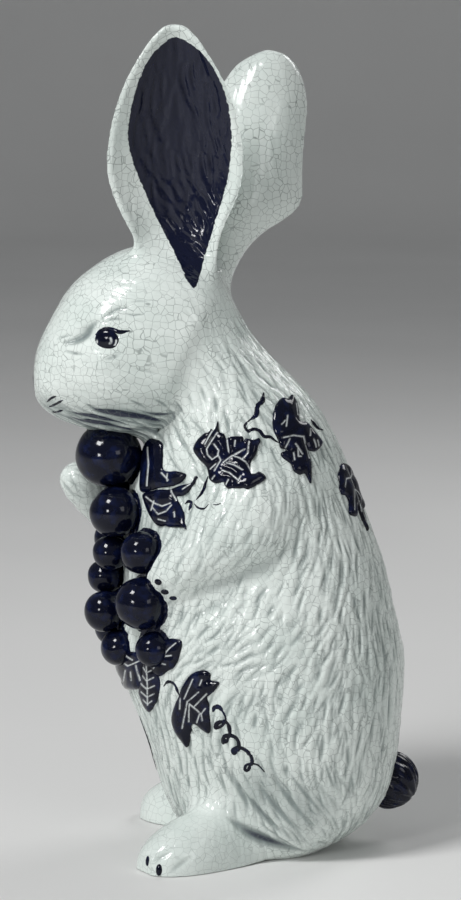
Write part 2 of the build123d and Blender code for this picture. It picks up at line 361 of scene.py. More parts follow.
@dataclass(frozen=True)
class CobaltGlaze:
    """Near black cobalt glaze, with scratched white veins where a piece has them, and on the eyes white
    catchlight crescents that are painted highlights.
    """

    colour: Colour = (0.0025, 0.0035, 0.012, 1.0)
    thin: Colour = (0.006, 0.011, 0.048, 1.0)
    # White of the scratched veins and of the painted highlights on the eyes.
    vein_and_catchlight: Colour = (0.72, 0.76, 0.76, 1.0)
    pools: Mottle = Mottle(180.0, Span(0.45, 0.75, 0.0, 0.8), 3.0)
    worn: Mottle = Mottle(700.0, Span(0.30, 0.50, 0.35, 1.0))
    grain: Mottle = Mottle(600.0, Span(0.3, 0.7, 0.05, 0.13))
    gloss: float = 0.26
    ripple_scale: float = 230.0
    bump_strength: float = 0.14
    bump_reach: float = 0.8 * MM

    def build(self) -> bpy.types.Material:
        """Makes the material.

        Returns:
            The cobalt glaze.
        """
        shader = Shader("cobalt")
        colour = shader.mix(shader.mottle(self.pools), self.colour, self.thin)
        # Scratched veins, and on the eyes painted highlights.
        vein_and_catchlight = shader.math("MULTIPLY", shader.mark("vein_and_catchlight"), shader.mottle(self.worn))
        colour = shader.mix(vein_and_catchlight, colour, self.vein_and_catchlight)
        shader.bump(shader.noise(self.ripple_scale), self.bump_strength, self.bump_reach)
        return shader.finish(colour, shader.mottle(self.grain), self.gloss)


# Mesh helpers
def new_object(name: str, points: object, faces: object, material: bpy.types.Material) -> bpy.types.Object:
    """Makes a smooth mesh object whose place is in its mesh.

    Args:
        name: its name.
        points: the vertices.
        faces: lists of vertex numbers.
        material: its material.

    Returns:
        The object.
    """
    mesh = bpy.data.meshes.new(name)
    mesh.from_pydata([tuple(point) for point in points], [], [tuple(face) for face in faces])
    mesh.validate()
    mesh.shade_smooth()
    mesh.materials.append(material)
    made = bpy.data.objects.new(name, mesh)
    bpy.context.collection.objects.link(made)
    return made


def new_ball(name: str, subdivisions: int, material: bpy.types.Material) -> bpy.types.Object:
    """Makes a smooth ball of radius 1 m at the origin.

    Args:
        name: its name.
        subdivisions: how finely it is divided.
        material: its material.

    Returns:
        The ball.
    """
    bpy.ops.mesh.primitive_ico_sphere_add(subdivisions=subdivisions, radius=1.0)
    ball = bpy.context.object
    ball.name = name
    ball.data.shade_smooth()
    ball.data.materials.append(material)
    return ball


def register(piece: bpy.types.Object, node: str | None = None) -> None:
    """Tells the frame what a piece rides on and the CAD node that it replaces, and reports it.

    Args:
        piece: the piece.
        node: the CAD node, where it replaces one.
    """
    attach(piece, BODY)
    if node is not None:
        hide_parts(node)
    LOG.info("%s has %d faces", piece.name, len(piece.data.polygons))


def write_mark(mesh: bpy.types.Mesh, name: str, values: np.ndarray) -> None:
    """Stores one number for each vertex of a mesh under a name."""
    mark = mesh.attributes.new(name, "FLOAT", "POINT")
    mark.data.foreach_set("value", np.ascontiguousarray(values, dtype=np.float32))


def read_rows(items: object, key: str, width: int, kind: type = np.float64) -> np.ndarray:
    """Numbers of a mesh's items.

    Args:
        items: the vertices, edges or the like.
        key: which of their values.
        width: how many numbers each has.
        kind: the numbers' type.

    Returns:
        An array of one row for each item.
    """
    flat = np.empty(len(items) * width, dtype=kind)
    items.foreach_get(key, flat)
    return flat.reshape(-1, width)


def read_points(mesh: bpy.types.Mesh) -> np.ndarray:
    """The places of a mesh's vertices, in rows."""
    return read_rows(mesh.vertices, "co", 3)


def read_normals(mesh: bpy.types.Mesh) -> np.ndarray:
    """The normals of a mesh's vertices, in rows."""
    return read_rows(mesh.vertex_normals, "vector", 3)


def write_points(mesh: bpy.types.Mesh, points: np.ndarray) -> None:
    """Moves a mesh's vertices to new places."""
    mesh.vertices.foreach_set("co", points.ravel())
    mesh.update()


def clamp(values: np.ndarray) -> np.ndarray:
    """The values, held between 0 and 1."""
    return np.clip(values, 0.0, 1.0)


def bell(values: np.ndarray) -> np.ndarray:
    """A bell curve that is 1 at 0 and has fallen to 1/e at 1."""
    return np.exp(-(values**2))


def segment_distance(points: np.ndarray, path: np.ndarray) -> np.ndarray:
    """How far each point is from a path of straight runs.

    Args:
        points: rows of two or three numbers.
        path: the path's corners, likewise.

    Returns:
        One distance for each point.
    """
    nearest = np.full(len(points), np.inf)
    for start, end in zip(path[:-1], path[1:]):
        run = end - start
        share = clamp(((points - start) @ run) / max(run @ run, TINY_SQUARED))
        nearest = np.minimum(nearest, np.linalg.norm(points - start - share[:, None] * run, axis=1))
    return nearest


def inside_distance(points: np.ndarray, outline: np.ndarray) -> np.ndarray:
    """Signed distance from flat points to a closed outline, positive inside.

    Args:
        points: rows of two numbers.
        outline: the outline's corners.

    Returns:
        One distance for each point.
    """
    closed = np.vstack([outline, outline[:1]])
    inside = np.zeros(len(points), dtype=bool)
    for (ax, ay), (bx, by) in zip(closed[:-1], closed[1:]):
        crosses = (ay > points[:, 1]) != (by > points[:, 1])
        with np.errstate(divide="ignore", invalid="ignore"):
            inside ^= crosses & (points[:, 0] < (bx - ax) * (points[:, 1] - ay) / (by - ay) + ax)
    away = segment_distance(points, closed)
    return np.where(inside, away, -away)


def smooth_path(path: np.ndarray, step: float, closed: bool = False) -> np.ndarray:
    """Even points on a smooth curve through a path.

    Args:
        path: its corners.
        step: about how far apart the points are.
        closed: whether the path returns to its start.

    Returns:
        The points, which leave out the repeated start of a closed path.
    """
    if closed:
        padded = np.vstack([path[-1:], path, path[:2]])
    else:
        padded = np.vstack([2 * path[0] - path[1], path, 2 * path[-1] - path[-2]])
    made = []
    for before, start, end, after in zip(padded[:-3], padded[1:-2], padded[2:-1], padded[3:]):
        count = max(2, int(np.linalg.norm(end - start) / step))
        share = (np.arange(count) / count)[:, None]
        linear = (end - before) * share
        square = (2 * before - 5 * start + 4 * end - after) * share**2
        cube = (3 * start - before - 3 * end + after) * share**3
        made.append(0.5 * (2 * start + linear + square + cube))
    if not closed:
        made.append(path[-1:])
    return np.vstack(made)


# Relief on the skin, placed by pixels of the photograph
@dataclass(frozen=True)
class Swell:
    """A round rise or dip on both sides of the figure, with painted shade laid over it by its stain share."""

    at: tuple[float, float]
    radius: float
    height: float
    stain_and_shade: float = 0.0


@dataclass(frozen=True)
class Crease:
    """A groove along a path, on both sides of the figure, with grey pooling and painted shade laid in it by
    its stain share.
    """

    path: FlatPath
    half_width: float
    depth: float
    stain_and_shade: float = 0.5
    step: float = 3.0
    thinning: float = 0.75
    reach: float = 3.0

    def shape(self, points: np.ndarray, path: np.ndarray, run: np.ndarray) -> np.ndarray:
        """The groove's section, which thins out towards both ends.

        Args:
            points: the skin's points.
            path: the groove's line on the skin.
            run: how far along each of the line's points is, from -1 to 1.

        Returns:
            A share of the depth for each point.
        """
        cut = np.zeros(len(points))
        reach = self.reach * self.half_width * MM
        near = (points > path.min(axis=0) - reach) & (points < path.max(axis=0) + reach)
        near = np.flatnonzero(near.all(axis=1))
        for start, end, place in zip(path[:-1], path[1:], run):
            taper = 1.0 - self.thinning * place**2
            away = segment_distance(points[near], np.array((start, end)))
            cut[near] = np.maximum(cut[near], taper * bell(away / (self.half_width * MM * taper)))
        return cut


# Stain shares of the swells are painted shade: the brow shadow, the grey under the cheek and jaw, under the
# forearm and on the haunch.
SWELLS = (
    Swell((107, 340), 11.0, 1.3),
    Swell((107, 340), 6.0, -2.2),
    # Painted shadow in the dip of the brow.
    Swell((87, 332), 4.6, -2.4, 0.5),
    Swell((76, 340), 4.0, -0.9, 0.25),
    # No rise, only painted shade under the cheek and jaw.
    Swell((148, 408), 13.0, 0.0, 0.42),
    Swell((112, 412), 11.0, 0.0, 0.55),
    Swell((109, 356), 5.0, 0.9),
    Swell((100, 318), 9.0, 1.0),
    Swell((95, 385), 19.0, 2.0),
    Swell((150, 385), 22.0, 1.4),
    Swell((50, 390), 8.0, 1.2),
    Swell((290, 690), 55.0, 2.4),
    # Painted shade under the forearm.
    Swell((240, 600), 15.0, -1.0, 0.12),
    Swell((205, 600), 10.0, -1.2, 0.22),
    Swell((270, 570), 12.0, -0.5, 0.10),
    # Painted shade on the haunch.
    Swell((262, 792), 18.0, -1.6, 0.50),
    Swell((306, 812), 20.0, -1.6, 0.50),
)

# Stain shares lay grey pooling and painted shade in the grooves; shares near 1 and above reach a near black
# painted shadow.
CREASES = (
    # Painted shadow under the brow.
    Crease(((62, 343), (74, 341), (84, 336), (90, 328), (98, 322.5)), 2.3, 1.0, 1.0),
    Crease(((96, 324), (106, 317.5), (117, 309.5), (129, 308)), 1.0, 0.6, 0.75),
    Crease(((54, 340), (61, 337.5), (71, 335)), 0.8, 0.35, 0.6),
    Crease(((104, 322), (113, 319.5), (125, 319.5)), 0.8, 0.45, 0.65),
    Crease(((124, 313), (133, 315), (143, 314)), 0.8, 0.35, 0.55),
    Crease(((126, 304), (138, 301), (150, 302)), 0.8, 0.35, 0.5),
    Crease(((62, 351), (72, 352.5), (85, 354.5)), 0.9, 0.45, 0.65),
    Crease(((104, 358), (113, 357), (121, 353)), 1.3, 0.5, 0.5),
    Crease(((130, 366), (142, 369), (160, 374)), 0.9, 0.35, 0.45),
    Crease(((40, 399), (46, 404), (58, 408), (72, 408)), 1.0, 0.6, 0.7),
    # A near black painted shadow band along the underside of the jaw, with some cobalt pooling.
    Crease(((87, 401), (96.5, 408), (112, 411), (131, 414), (150, 418), (166, 423)), 2.6, 0.9, 2.2),
    Crease(((62, 409), (76, 413), (92, 415), (110, 419), (128, 424)), 1.8, 0.7, 1.9),
    Crease(((63, 414), (80, 420), (102, 423), (118, 427), (140, 432)), 2.0, 0.8, 2.0),
    Crease(((136, 410), (150, 413), (164, 414), (178, 412)), 1.4, 0.6, 1.3),
    Crease(((126, 396), (138, 402), (148, 408)), 1.0, 0.5, 0.8),
    Crease(((150, 396), (160, 401), (168, 407)), 1.0, 0.5, 0.8),
    # Painted shade under the forearm.
    Crease(((178, 607), (195, 597), (215, 588), (240, 578), (268, 564), (296, 544)), 4.6, 1.1),
    Crease(((192, 622), (215, 606), (240, 598)), 3.0, 0.8),
    # Painted shadow in the wedge between foot and body and in the grooves above it.
    Crease(((225, 816), (255, 836), (285, 848), (306, 852)), 3.0, 1.7, 1.2),
    Crease(((238, 786), (258, 812), (282, 836)), 2.0, 1.4, 1.0),
    Crease(((250, 776), (272, 806), (302, 838)), 1.9, 1.4, 0.95),
    Crease(((268, 770), (288, 800), (318, 836)), 1.9, 1.4, 0.9),
    Crease(((286, 768), (306, 796), (332, 824)), 1.7, 1.1, 0.8),
    Crease(((306, 766), (322, 790), (346, 812)), 1.4, 0.9),
    Crease(((326, 762), (344, 784), (360, 796)), 1.3, 0.7),
    Crease(((232, 768), (238, 790), (250, 812)), 1.8, 1.0, 0.85),
    Crease(((150, 866), (160, 858), (170, 852)), 1.5, 0.7),
    Crease(((166, 876), (178, 866), (190, 858)), 1.5, 0.7),
)

# Lie of the fur: pixels of the photograph and the way a stroke runs there
FUR_LIE = (
    ((311, 532), (-0.25, 1.0)), ((279, 550), (-0.70, 1.0)), ((284, 590), (-0.35, 1.0)),
    ((244, 641), (-1.0, 0.75)), ((217, 644), (-1.0, 0.60)), ((316, 625), (-0.60, 1.0)),
    ((311, 657), (-0.50, 1.0)), ((364, 631), (0.0, 1.0)), ((386, 684), (-0.05, 1.0)),
    ((321, 727), (-0.15, 1.0)), ((276, 732), (0.20, 1.0)), ((262, 778), (0.50, 1.0)),
    ((284, 805), (0.70, 1.0)), ((324, 791), (0.60, 1.0)), ((364, 778), (-0.10, 1.0)),
    ((238, 778), (0.20, 1.0)), ((190, 778), (0.0, 1.0)), ((185, 724), (0.0, 1.0)),
    ((177, 569), (-0.50, 1.0)), ((204, 564), (-0.50, 1.0)), ((240, 520), (-0.45, 1.0)),
    ((348, 497), (0.30, 1.0)), ((280, 390), (0.60, 1.0)), ((240, 330), (0.45, 1.0)),
    ((225, 400), (0.20, 1.0)), ((180, 430), (0.75, 0.7)), ((130, 425), (1.0, 0.4)),
    ((80, 420), (1.0, 0.3)), ((90, 340), (1.0, -0.2)), ((60, 360), (1.0, 0.1)), ((140, 300), (1.0, 0.4)),
    ((150, 360), (1.0, 0.35)), ((120, 180), (0.1, 1.0)), ((180, 100), (0.0, 1.0)),
    ((285, 120), (-0.15, 1.0)), ((190, 845), (-1.0, 0.25)),
)

# How deep each node's fur is, as a share of the trunk's
FUR_SHARE = {
    Node.TORSO: 1.0,
    Node.HEAD: 0.30,
    Node.LEFT_EAR: 0.14,
    Node.RIGHT_EAR: 0.14,
    Node.LEFT_FORELEG: 0.75,
    Node.RIGHT_FORELEG: 0.75,
    Node.LEFT_FOOT: 0.22,
    Node.RIGHT_FOOT: 0.22,
}


@dataclass(frozen=True)
class FurStroke:
    """How the strokes of the fur vary and are cut: sizes in millimetres, bend in 1/m, turn in radians."""

    count: int = 8200
    half_length: tuple[float, float] = (5.0, 12.0)
    half_width: tuple[float, float] = (0.9, 1.75)
    depth: tuple[float, float] = (0.30, 1.0)
    bend: float = 10.0
    turn: float = 0.17
    least_depth: float = 0.03
    facing: float = 0.2
    groove_fall: float = 1.6
    lip_place: float = 1.9
    lip_fall: float = 2.2
    lip_share: float = 0.45
    relief: float = 0.95


# Painted bowls of the ears: across and along, in millimetres from the root
NEAR_BOWL = (
    (0.7, 112.2), (-6.5, 108.0), (-12.8, 100.6), (-19.0, 84.8), (-21.9, 68.0), (-20.0, 53.6),
    (-13.7, 36.8), (-5.6, 19.0), (1.6, 6.6), (8.9, -3.5), (14.1, 10.4), (18.4, 24.8), (22.8, 39.2),
    (25.6, 53.6), (26.1, 68.0), (23.7, 84.8), (18.0, 97.8), (11.2, 106.4),
)
FAR_BOWL = (
    (0.0, 107.5), (-6.0, 104.0), (-11.5, 97.0), (-16.2, 88.0), (-19.2, 78.0), (-21.8, 65.0),
    (-24.6, 53.0), (-24.2, 42.5), (-16.2, 33.0), (-9.0, 24.0), (-5.0, 15.0), (-3.5, 5.0), (3.5, 5.0),
    (5.0, 15.0), (9.0, 24.0), (16.2, 33.0), (24.2, 42.5), (24.6, 53.0), (21.8, 65.0), (19.2, 78.0),
    (16.2, 88.0), (11.5, 97.0), (6.0, 104.0),
)


@dataclass(frozen=True)
class EarBowl:
    """The painted bowl of an ear, in the frame that its solid has.

    Args:
        node: the ear.
        root: where it is rooted, in millimetres.
        side: 1 on the left and -1 on the right.
        lean_out: degrees outwards.
        lean_back: degrees backwards.
        outline: the painted area.
    """

    node: Node
    root: tuple[float, float, float]
    side: float
    lean_out: float
    lean_back: float
    outline: FlatPath
    step: float = 2.0
    least_facing: float = 0.05
    half_thickness: float = 22 * MM
    outside: float = -5 * MM

    def depth(self, points: np.ndarray, normals: np.ndarray) -> np.ndarray:
        """How far inside the painted area each point is.

        Args:
            points: the skin's points.
            normals: their normals.

        Returns:
            A signed distance for each point.
        """
        back = Matrix.Rotation(math.radians(-self.lean_back), 3, "X")
        frame = back @ Matrix.Rotation(math.radians(self.side * self.lean_out), 3, "Y")
        local = (points - np.array(self.root) * MM) @ np.array(frame)
        facing = normals @ np.array(frame @ Vector((self.side, 0, 0)))
        outline = smooth_path(np.array(self.outline), self.step, closed=True) * MM
        inside = inside_distance(local[:, 1:], outline)
        seen = (facing > self.least_facing) & (np.abs(local[:, 0]) < self.half_thickness)
        return np.where(seen & (points[:, 0] * self.side > 0), inside, self.outside)


EAR_BOWLS = (
    EarBowl(Node.LEFT_EAR, (14.8, -22.85, 277.6), 1.0, 9.0, 0.0, NEAR_BOWL),
    EarBowl(Node.RIGHT_EAR, (-14.8, -3.17, 273.3), -1.0, 9.0, 14.5, FAR_BOWL),
)

# Grapes: centre as shares of the trunk and radius in millimetres, with the sixth a little further in
# than its solid
GRAPES = (
    (0.069, -0.408, 0.746, 15.80), (0.258, -0.385, 0.644, 11.99), (0.509, -0.289, 0.578, 10.00),
    (0.199, -0.401, 0.565, 8.41), (0.021, -0.423, 0.512, 8.30), (0.545, -0.288, 0.484, 12.60),
    (0.201, -0.424, 0.453, 9.61), (0.233, -0.373, 0.385, 8.80), (0.600, -0.245, 0.399, 8.60),
    (-0.129, -0.360, 0.657, 10.11), (-0.105, -0.396, 0.581, 9.20), (-0.271, -0.366, 0.516, 9.80),
    (-0.366, -0.394, 0.442, 9.61), (-0.592, -0.316, 0.487, 10.51), (-0.063, -0.395, 0.410, 9.20),
    (-0.520, -0.302, 0.404, 8.45),
)


def grape_centre(row: tuple[float, float, float, float]) -> np.ndarray:
    """A grape's centre in metres, from its shares of the trunk's half width, depth and height."""
    return np.array(Vector((row[0] * TORSO_HALF_WIDTH, row[1] * TORSO_DEPTH, row[2] * TORSO_HEIGHT)))


@dataclass
class FigureSkin:
    """The white skin over the trunk, head, ears, forelegs and feet, with one piece for each CAD node."""

    nodes: dict[str, bpy.types.Object]
    voxel: float = 0.78 * MM
    closing: float = 0.9 * MM
    weld: float = 0.01 * MM
    fold_limit: float = 0.72
    base_margin: float = 0.2 * MM
    hole_margin: float = 0.3 * MM
    owner_reach: float = 20 * MM
    owner_rounds: int = 6
    base_reach: float = 3 * MM
    first_share: float = 0.5
    first_rounds: int = 3
    seam_reach: float = 9.0 * MM
    seam_rounds: int = 280
    tip_start: float = 1.4
    tip_reach: float = 5 * MM
    tip_rounds: int = 70
    smooth_share: float = 0.6
    blur_rounds: int = 25
    relief_reach: float = 6 * MM
    fur_origin: tuple[float, float] = (224.5, 850)
    fur_softness: float = 60.0
    fur_fall: float = 1.5
    jaw_height: float = 203 * MM
    jaw_reach: float = 9 * MM
    jaw_fur: float = 0.65
    bowl_fur: float = 0.95
    bowl_rim: float = 2 * MM
    bowl_reach: float = 3 * MM
    fur_foot: float = 2 * MM
    fur_reach: float = 8 * MM
    # Below the chin top the head takes painted shade; the groove stain is grey pooling in the fur's grooves.
    chin_top: float = 224 * MM
    chin_reach: float = 14 * MM
    chin_painted_shade: float = 0.30
    groove_stain: float = 0.9
    chin_groove_shade: float = 0.6
    ridge_share: float = 0.5
    ear_foot: float = 265 * MM
    nose_height: float = 223 * MM
    nose_search: float = 3 * MM
    nose_radius: float = 6.8 * MM
    grape_ground: float = 2.2 * MM
    paint_limit: float = 20 * MM
    cap_sink_mm: float = 1.6
    cap_dip_mm: float = 3.0
    stroke: FurStroke = FurStroke()

    def __post_init__(self) -> None:
        """Builds the whole skin."""
        self.trees: list[BVHTree] = []
        self.object = self.gather()
        self.mesh = self.object.data
        self.points = read_points(self.mesh) - self.closing * read_normals(self.mesh)
        self.edges = read_rows(self.mesh.edges, "vertices", 2, np.int64)
        self.degree = np.bincount(self.edges.ravel(), minlength=len(self.points)).astype(float)
        self.faces = read_rows(self.mesh.loops, "vertex_index", 1, np.int64).reshape(-1, 4)
        self.pooling_and_shade = np.zeros(len(self.points))
        LOG.info("skin has %d vertices", len(self.points))
        self.soften()
        self.model()
        self.calm_tree = self.grow_tree()
        self.carve()
        self.tree = self.grow_tree()

    def grow_tree(self) -> BVHTree:
        """A search tree of the skin as it now is."""
        return BVHTree.FromPolygons(self.points.tolist(), self.faces.tolist())

    def owned(self, *nodes: Node) -> np.ndarray:
        """Which vertices are on any of some nodes."""
        return np.isin(self.owner, [list(Node).index(node) for node in nodes])

    def above(self, start: float, reach: float) -> np.ndarray:
        """How far each vertex has risen over a height, from 0 there to 1 a reach higher."""
        return clamp((self.points[:, 2] - start) / reach)

    def outer_faces(self, form: bmesh.types.BMesh, name: str) -> set[bmesh.types.BMFace]:
        """Faces that bend gently on from the widest one, and the trunk's base and pour hole.

        Args:
            form: the node's mesh.
            name: the node.

        Returns:
            The faces.
        """
        seed = max(form.faces, key=lambda face: face.calc_center_median().x)
        reached = {seed}
        queue = [seed]
        while queue:
            face = queue.pop()
            for other in (near for edge in face.edges for near in edge.link_faces):
                if other not in reached and face.normal.dot(other.normal) > self.fold_limit:
                    reached.add(other)
                    queue.append(other)
        for face in form.faces if name == Node.TORSO else ():
            centre = face.calc_center_median()
            by_hole = (centre - POUR_HOLE_CENTRE).xy.length < POUR_HOLE_RADIUS + self.hole_margin
            if centre.z < self.base_margin or (by_hole and centre.z < FLOOR_THICKNESS):
                reached.add(face)
        return reached

    def outer_form(self, name: str) -> bmesh.types.BMesh:
        """A closed copy of a node without its inside.

        Args:
            name: the node.

        Returns:
            The copy, which the caller frees.
        """
        form = bmesh.new()
        form.from_mesh(self.nodes[name].data)
        bmesh.ops.remove_doubles(form, verts=form.verts, dist=self.weld)
        form.normal_update()
        if name in (Node.TORSO, Node.HEAD):
            kept = self.outer_faces(form, name)
            inner = [face for face in form.faces if face not in kept]
            bmesh.ops.delete(form, geom=inner, context="FACES")
            rims = [edge for edge in form.edges if edge.is_boundary]
            bmesh.ops.holes_fill(form, edges=rims, sides=0)
            bmesh.ops.triangulate(form, faces=form.faces)
        return form

    def gather(self) -> bpy.types.Object:
        """Joins the outer forms and remeshes them as one.

        Returns:
            The joined object.
        """
        joined = bpy.data.meshes.new("skin")
        whole = bmesh.new()
        for node in Node:
            form = self.outer_form(node.value)
            self.trees.append(BVHTree.FromBMesh(form))
            form.normal_update()
            for vertex in form.verts:
                vertex.co += vertex.normal * self.closing
            part = bpy.data.meshes.new("part")
            form.to_mesh(part)
            form.free()
            whole.from_mesh(part)
            bpy.data.meshes.remove(part)
        whole.to_mesh(joined)
        whole.free()
        made = bpy.data.objects.new("skin", joined)
        bpy.context.collection.objects.link(made)
        bpy.context.view_layer.objects.active = made
        remesh = made.modifiers.new("remesh", "REMESH")
        remesh.mode = "VOXEL"
        remesh.voxel_size = self.voxel
        bpy.ops.object.modifier_apply(modifier=remesh.name)
        return made

    def spread_mean(self, values: np.ndarray) -> np.ndarray:
        """Each vertex's mean over its neighbours.

        Args:
            values: one row for each vertex.

        Returns:
            The means.
        """
        first, second = self.edges.T
        out = np.empty_like(values)
        for column in range(values.shape[1]):
            near = np.bincount(first, values[second, column], minlength=len(values))
            near += np.bincount(second, values[first, column], minlength=len(values))
            out[:, column] = near / self.degree
        return out

    def blur(self, values: np.ndarray) -> np.ndarray:
        """Spreads one number for each vertex over its neighbours, many times over."""
        for _ in range(self.blur_rounds):
            values = self.spread_mean(values[:, None])[:, 0]
        return values

    def smooth(self, weight: np.ndarray, rounds: int) -> None:
        """Relaxes the points towards their neighbours.

        Args:
            weight: each vertex's share.
            rounds: how often.
        """
        for _ in range(rounds):
            self.points += weight[:, None] * (self.spread_mean(self.points) - self.points)

    def soften(self) -> None:
        """Works out which node each vertex is on, and smooths the lute joints and the ears' tips."""
        away = np.full((len(self.trees), len(self.points)), self.owner_reach)
        for row, tree in enumerate(self.trees):
            for index, point in enumerate(self.points.tolist()):
                found = tree.find_nearest(point, self.owner_reach)
                if found[3] is not None:
                    away[row, index] = found[3]
        owner = np.eye(len(self.trees))[np.argmin(away, axis=0)]
        for _ in range(self.owner_rounds):
            owner = 0.5 * owner + 0.5 * self.spread_mean(owner)
        self.owner = np.argmax(owner, axis=1)
        second = np.sort(away, axis=0)[1]
        ground = self.above(0.0, self.base_reach)
        self.smooth(self.first_share * ground, self.first_rounds)
        self.smooth(self.smooth_share * bell(second / self.seam_reach) * ground, self.seam_rounds)
        for ear in (Node.LEFT_EAR, Node.RIGHT_EAR):
            own = self.owned(ear)
            drop = self.points[own, 2].max() - self.points[:, 2]
            share = self.smooth_share * own * clamp(self.tip_start - drop / self.tip_reach)
            self.smooth(share, self.tip_rounds)
        self.settle()

    def settle(self) -> None:
        """Keeps the base flat and writes the points to the mesh."""
        self.points[:, 2] = np.maximum(self.points[:, 2], 0.0)
        write_points(self.mesh, self.points)
        self.normals = read_normals(self.mesh)

    def cast(
        self, across: float, down: float, far: bool = False, calm: bool = False
    ) -> tuple[Vector, Vector]:
        """The point of the skin that a pixel of the photograph shows.

        Args:
            across: pixels from the left edge.
            down: pixels from the top edge.
            far: whether the mirror image of the view is meant.
            calm: whether the skin without its fur is meant.

        Returns:
            The point and the way out of the skin there.
        """
        flip = Matrix.Diagonal((-1.0 if far else 1.0, 1.0, 1.0))
        place = flip @ VIEW.place
        way = flip @ VIEW.ray(across, down)
        tree = self.calm_tree if calm else self.tree
        hit, out = tree.ray_cast(place, way)[:2]
        if hit is None:
            middle = place + way * (place.x / -way.x)
            hit, out = tree.find_nearest(middle)[:2]
        return hit, out

    def model(self) -> None:
        """Adds the modelled swells and creases, on both sides alike, with their grey pooling and painted
        shade.
        """
        self.tree = self.grow_tree()
        rise = np.zeros(len(self.points))
        sides = (self.points, self.points * np.array((-1.0, 1.0, 1.0)))
        for swell in SWELLS:
            centre = np.array(self.cast(*swell.at)[0])
            for side in sides:
                mound = bell(np.linalg.norm(side - centre, axis=1) / (swell.radius * MM))
                rise += swell.height * MM * mound
                # Painted shade of the swell.
                self.pooling_and_shade = np.maximum(self.pooling_and_shade, swell.stain_and_shade * mound)
        for crease in CREASES:
            pixels = smooth_path(np.array(crease.path, dtype=float), crease.step)
            path = np.array([self.cast(x, y)[0] for x, y in pixels])
            run = np.linspace(-1.0, 1.0, len(path))
            for side in sides:
                cut = crease.shape(side, path, run)
                rise -= crease.depth * MM * cut
                # Grey pooling and painted shade of the groove.
                self.pooling_and_shade = np.maximum(self.pooling_and_shade, cut * crease.stain_and_shade)
        self.points += self.normals * (rise * self.above(0.0, self.relief_reach))[:, None]
        self.settle()

    def fur_way(self) -> np.ndarray:
        """The lie of the fur at each vertex.

        Returns:
            One tangent vector for each vertex.
        """
        places = np.array([pixel for pixel, _ in FUR_LIE], dtype=float)
        ways = np.array([way for _, way in FUR_LIE], dtype=float)
        ways /= np.linalg.norm(ways, axis=1)[:, None]
        across = self.points[:, 1] / PIXEL + self.fur_origin[0]
        flat = np.stack([across, self.fur_origin[1] - self.points[:, 2] / PIXEL], axis=1)
        lie = np.zeros((len(flat), 2))
        for place, way in zip(places, ways):
            gap = ((flat - place) ** 2).sum(axis=1) + self.fur_softness
            lie += way / gap[:, None] ** self.fur_fall
        lie /= np.linalg.norm(lie, axis=1)[:, None]
        full = np.stack([np.zeros(len(lie)), lie[:, 0], -lie[:, 1]], axis=1)
        full -= self.normals * (full * self.normals).sum(axis=1)[:, None]
        return full / np.maximum(np.linalg.norm(full, axis=1), TINY)[:, None]

    def fur_depth(self) -> np.ndarray:
        """How deep the fur is carved at each vertex.

        Returns:
            A share for each vertex.
        """
        depth = np.array([FUR_SHARE[node] for node in Node])[self.owner]
        jaw = bell((self.points[:, 2] - self.jaw_height) / self.jaw_reach)
        depth = self.blur(np.where(self.owned(Node.HEAD), depth + self.jaw_fur * jaw, depth))
        for bowl in EAR_BOWLS:
            own = self.owned(bowl.node)
            inside = bowl.depth(self.points[own], self.normals[own])
            depth[own] += self.bowl_fur * clamp((inside - self.bowl_rim) / self.bowl_reach)
        return depth * self.above(self.fur_foot, self.fur_reach)

    def carve(self) -> None:
        """Carves seeded fur strokes along the lie of the fur, and marks grey pooling in them and painted
        shade under the jaw.
        """
        draw = np.random.default_rng(SEED)
        stroke = self.stroke
        lie = self.fur_way()
        self.fur = self.fur_depth()
        finder = KDTree(len(self.points))
        for index, point in enumerate(self.points.tolist()):
            finder.insert(point, index)
        finder.balance()
        groove = np.zeros(len(self.points))
        ridge = np.zeros(len(self.points))
        for start in draw.integers(0, len(self.points), stroke.count):
            half_length = draw.uniform(*stroke.half_length) * MM
            half_width = draw.uniform(*stroke.half_width) * MM
            depth = draw.uniform(*stroke.depth) * self.fur[start]
            bend = draw.normal(0.0, stroke.bend)
            turn = draw.normal(0.0, stroke.turn)
            if depth < stroke.least_depth:
                continue
            centre, along, out = self.points[start], lie[start], self.normals[start]
            side = np.cross(out, along)
            along, side = along + turn * side, side - turn * along
            near = np.array([found[1] for found in finder.find_range(centre, half_length)])
            gap = self.points[near] - centre
            run = gap @ along
            off = (gap @ side + bend * run**2) / half_width
            taper = clamp(1 - (run / half_length) ** 2)
            facing = (self.normals[near] @ out) > stroke.facing
            cut = depth * taper * np.exp(-(off**2) * stroke.groove_fall) * facing
            groove[near] = np.maximum(groove[near], cut)
            lip = np.exp(-((np.abs(off) - stroke.lip_place) ** 2) * stroke.lip_fall)
            ridge[near] = np.maximum(ridge[near], stroke.lip_share * depth * taper * lip * facing)
        self.points += self.normals * ((ridge - groove) * stroke.relief * MM)[:, None]
        # Painted shade under the jaw: grooves there darken more, and an even grey lies below the chin.
        under = clamp((self.chin_top - self.points[:, 2]) / self.chin_reach) * self.owned(Node.HEAD)
        share = self.groove_stain + self.chin_groove_shade * under
        stained_and_shaded = clamp(groove - self.ridge_share * ridge) * share + self.chin_painted_shade * under
        self.pooling_and_shade = np.maximum(self.pooling_and_shade, clamp(stained_and_shaded))
        self.faint = self.blur(self.owned(Node.LEFT_FOOT, Node.RIGHT_FOOT).astype(float))
        self.settle()

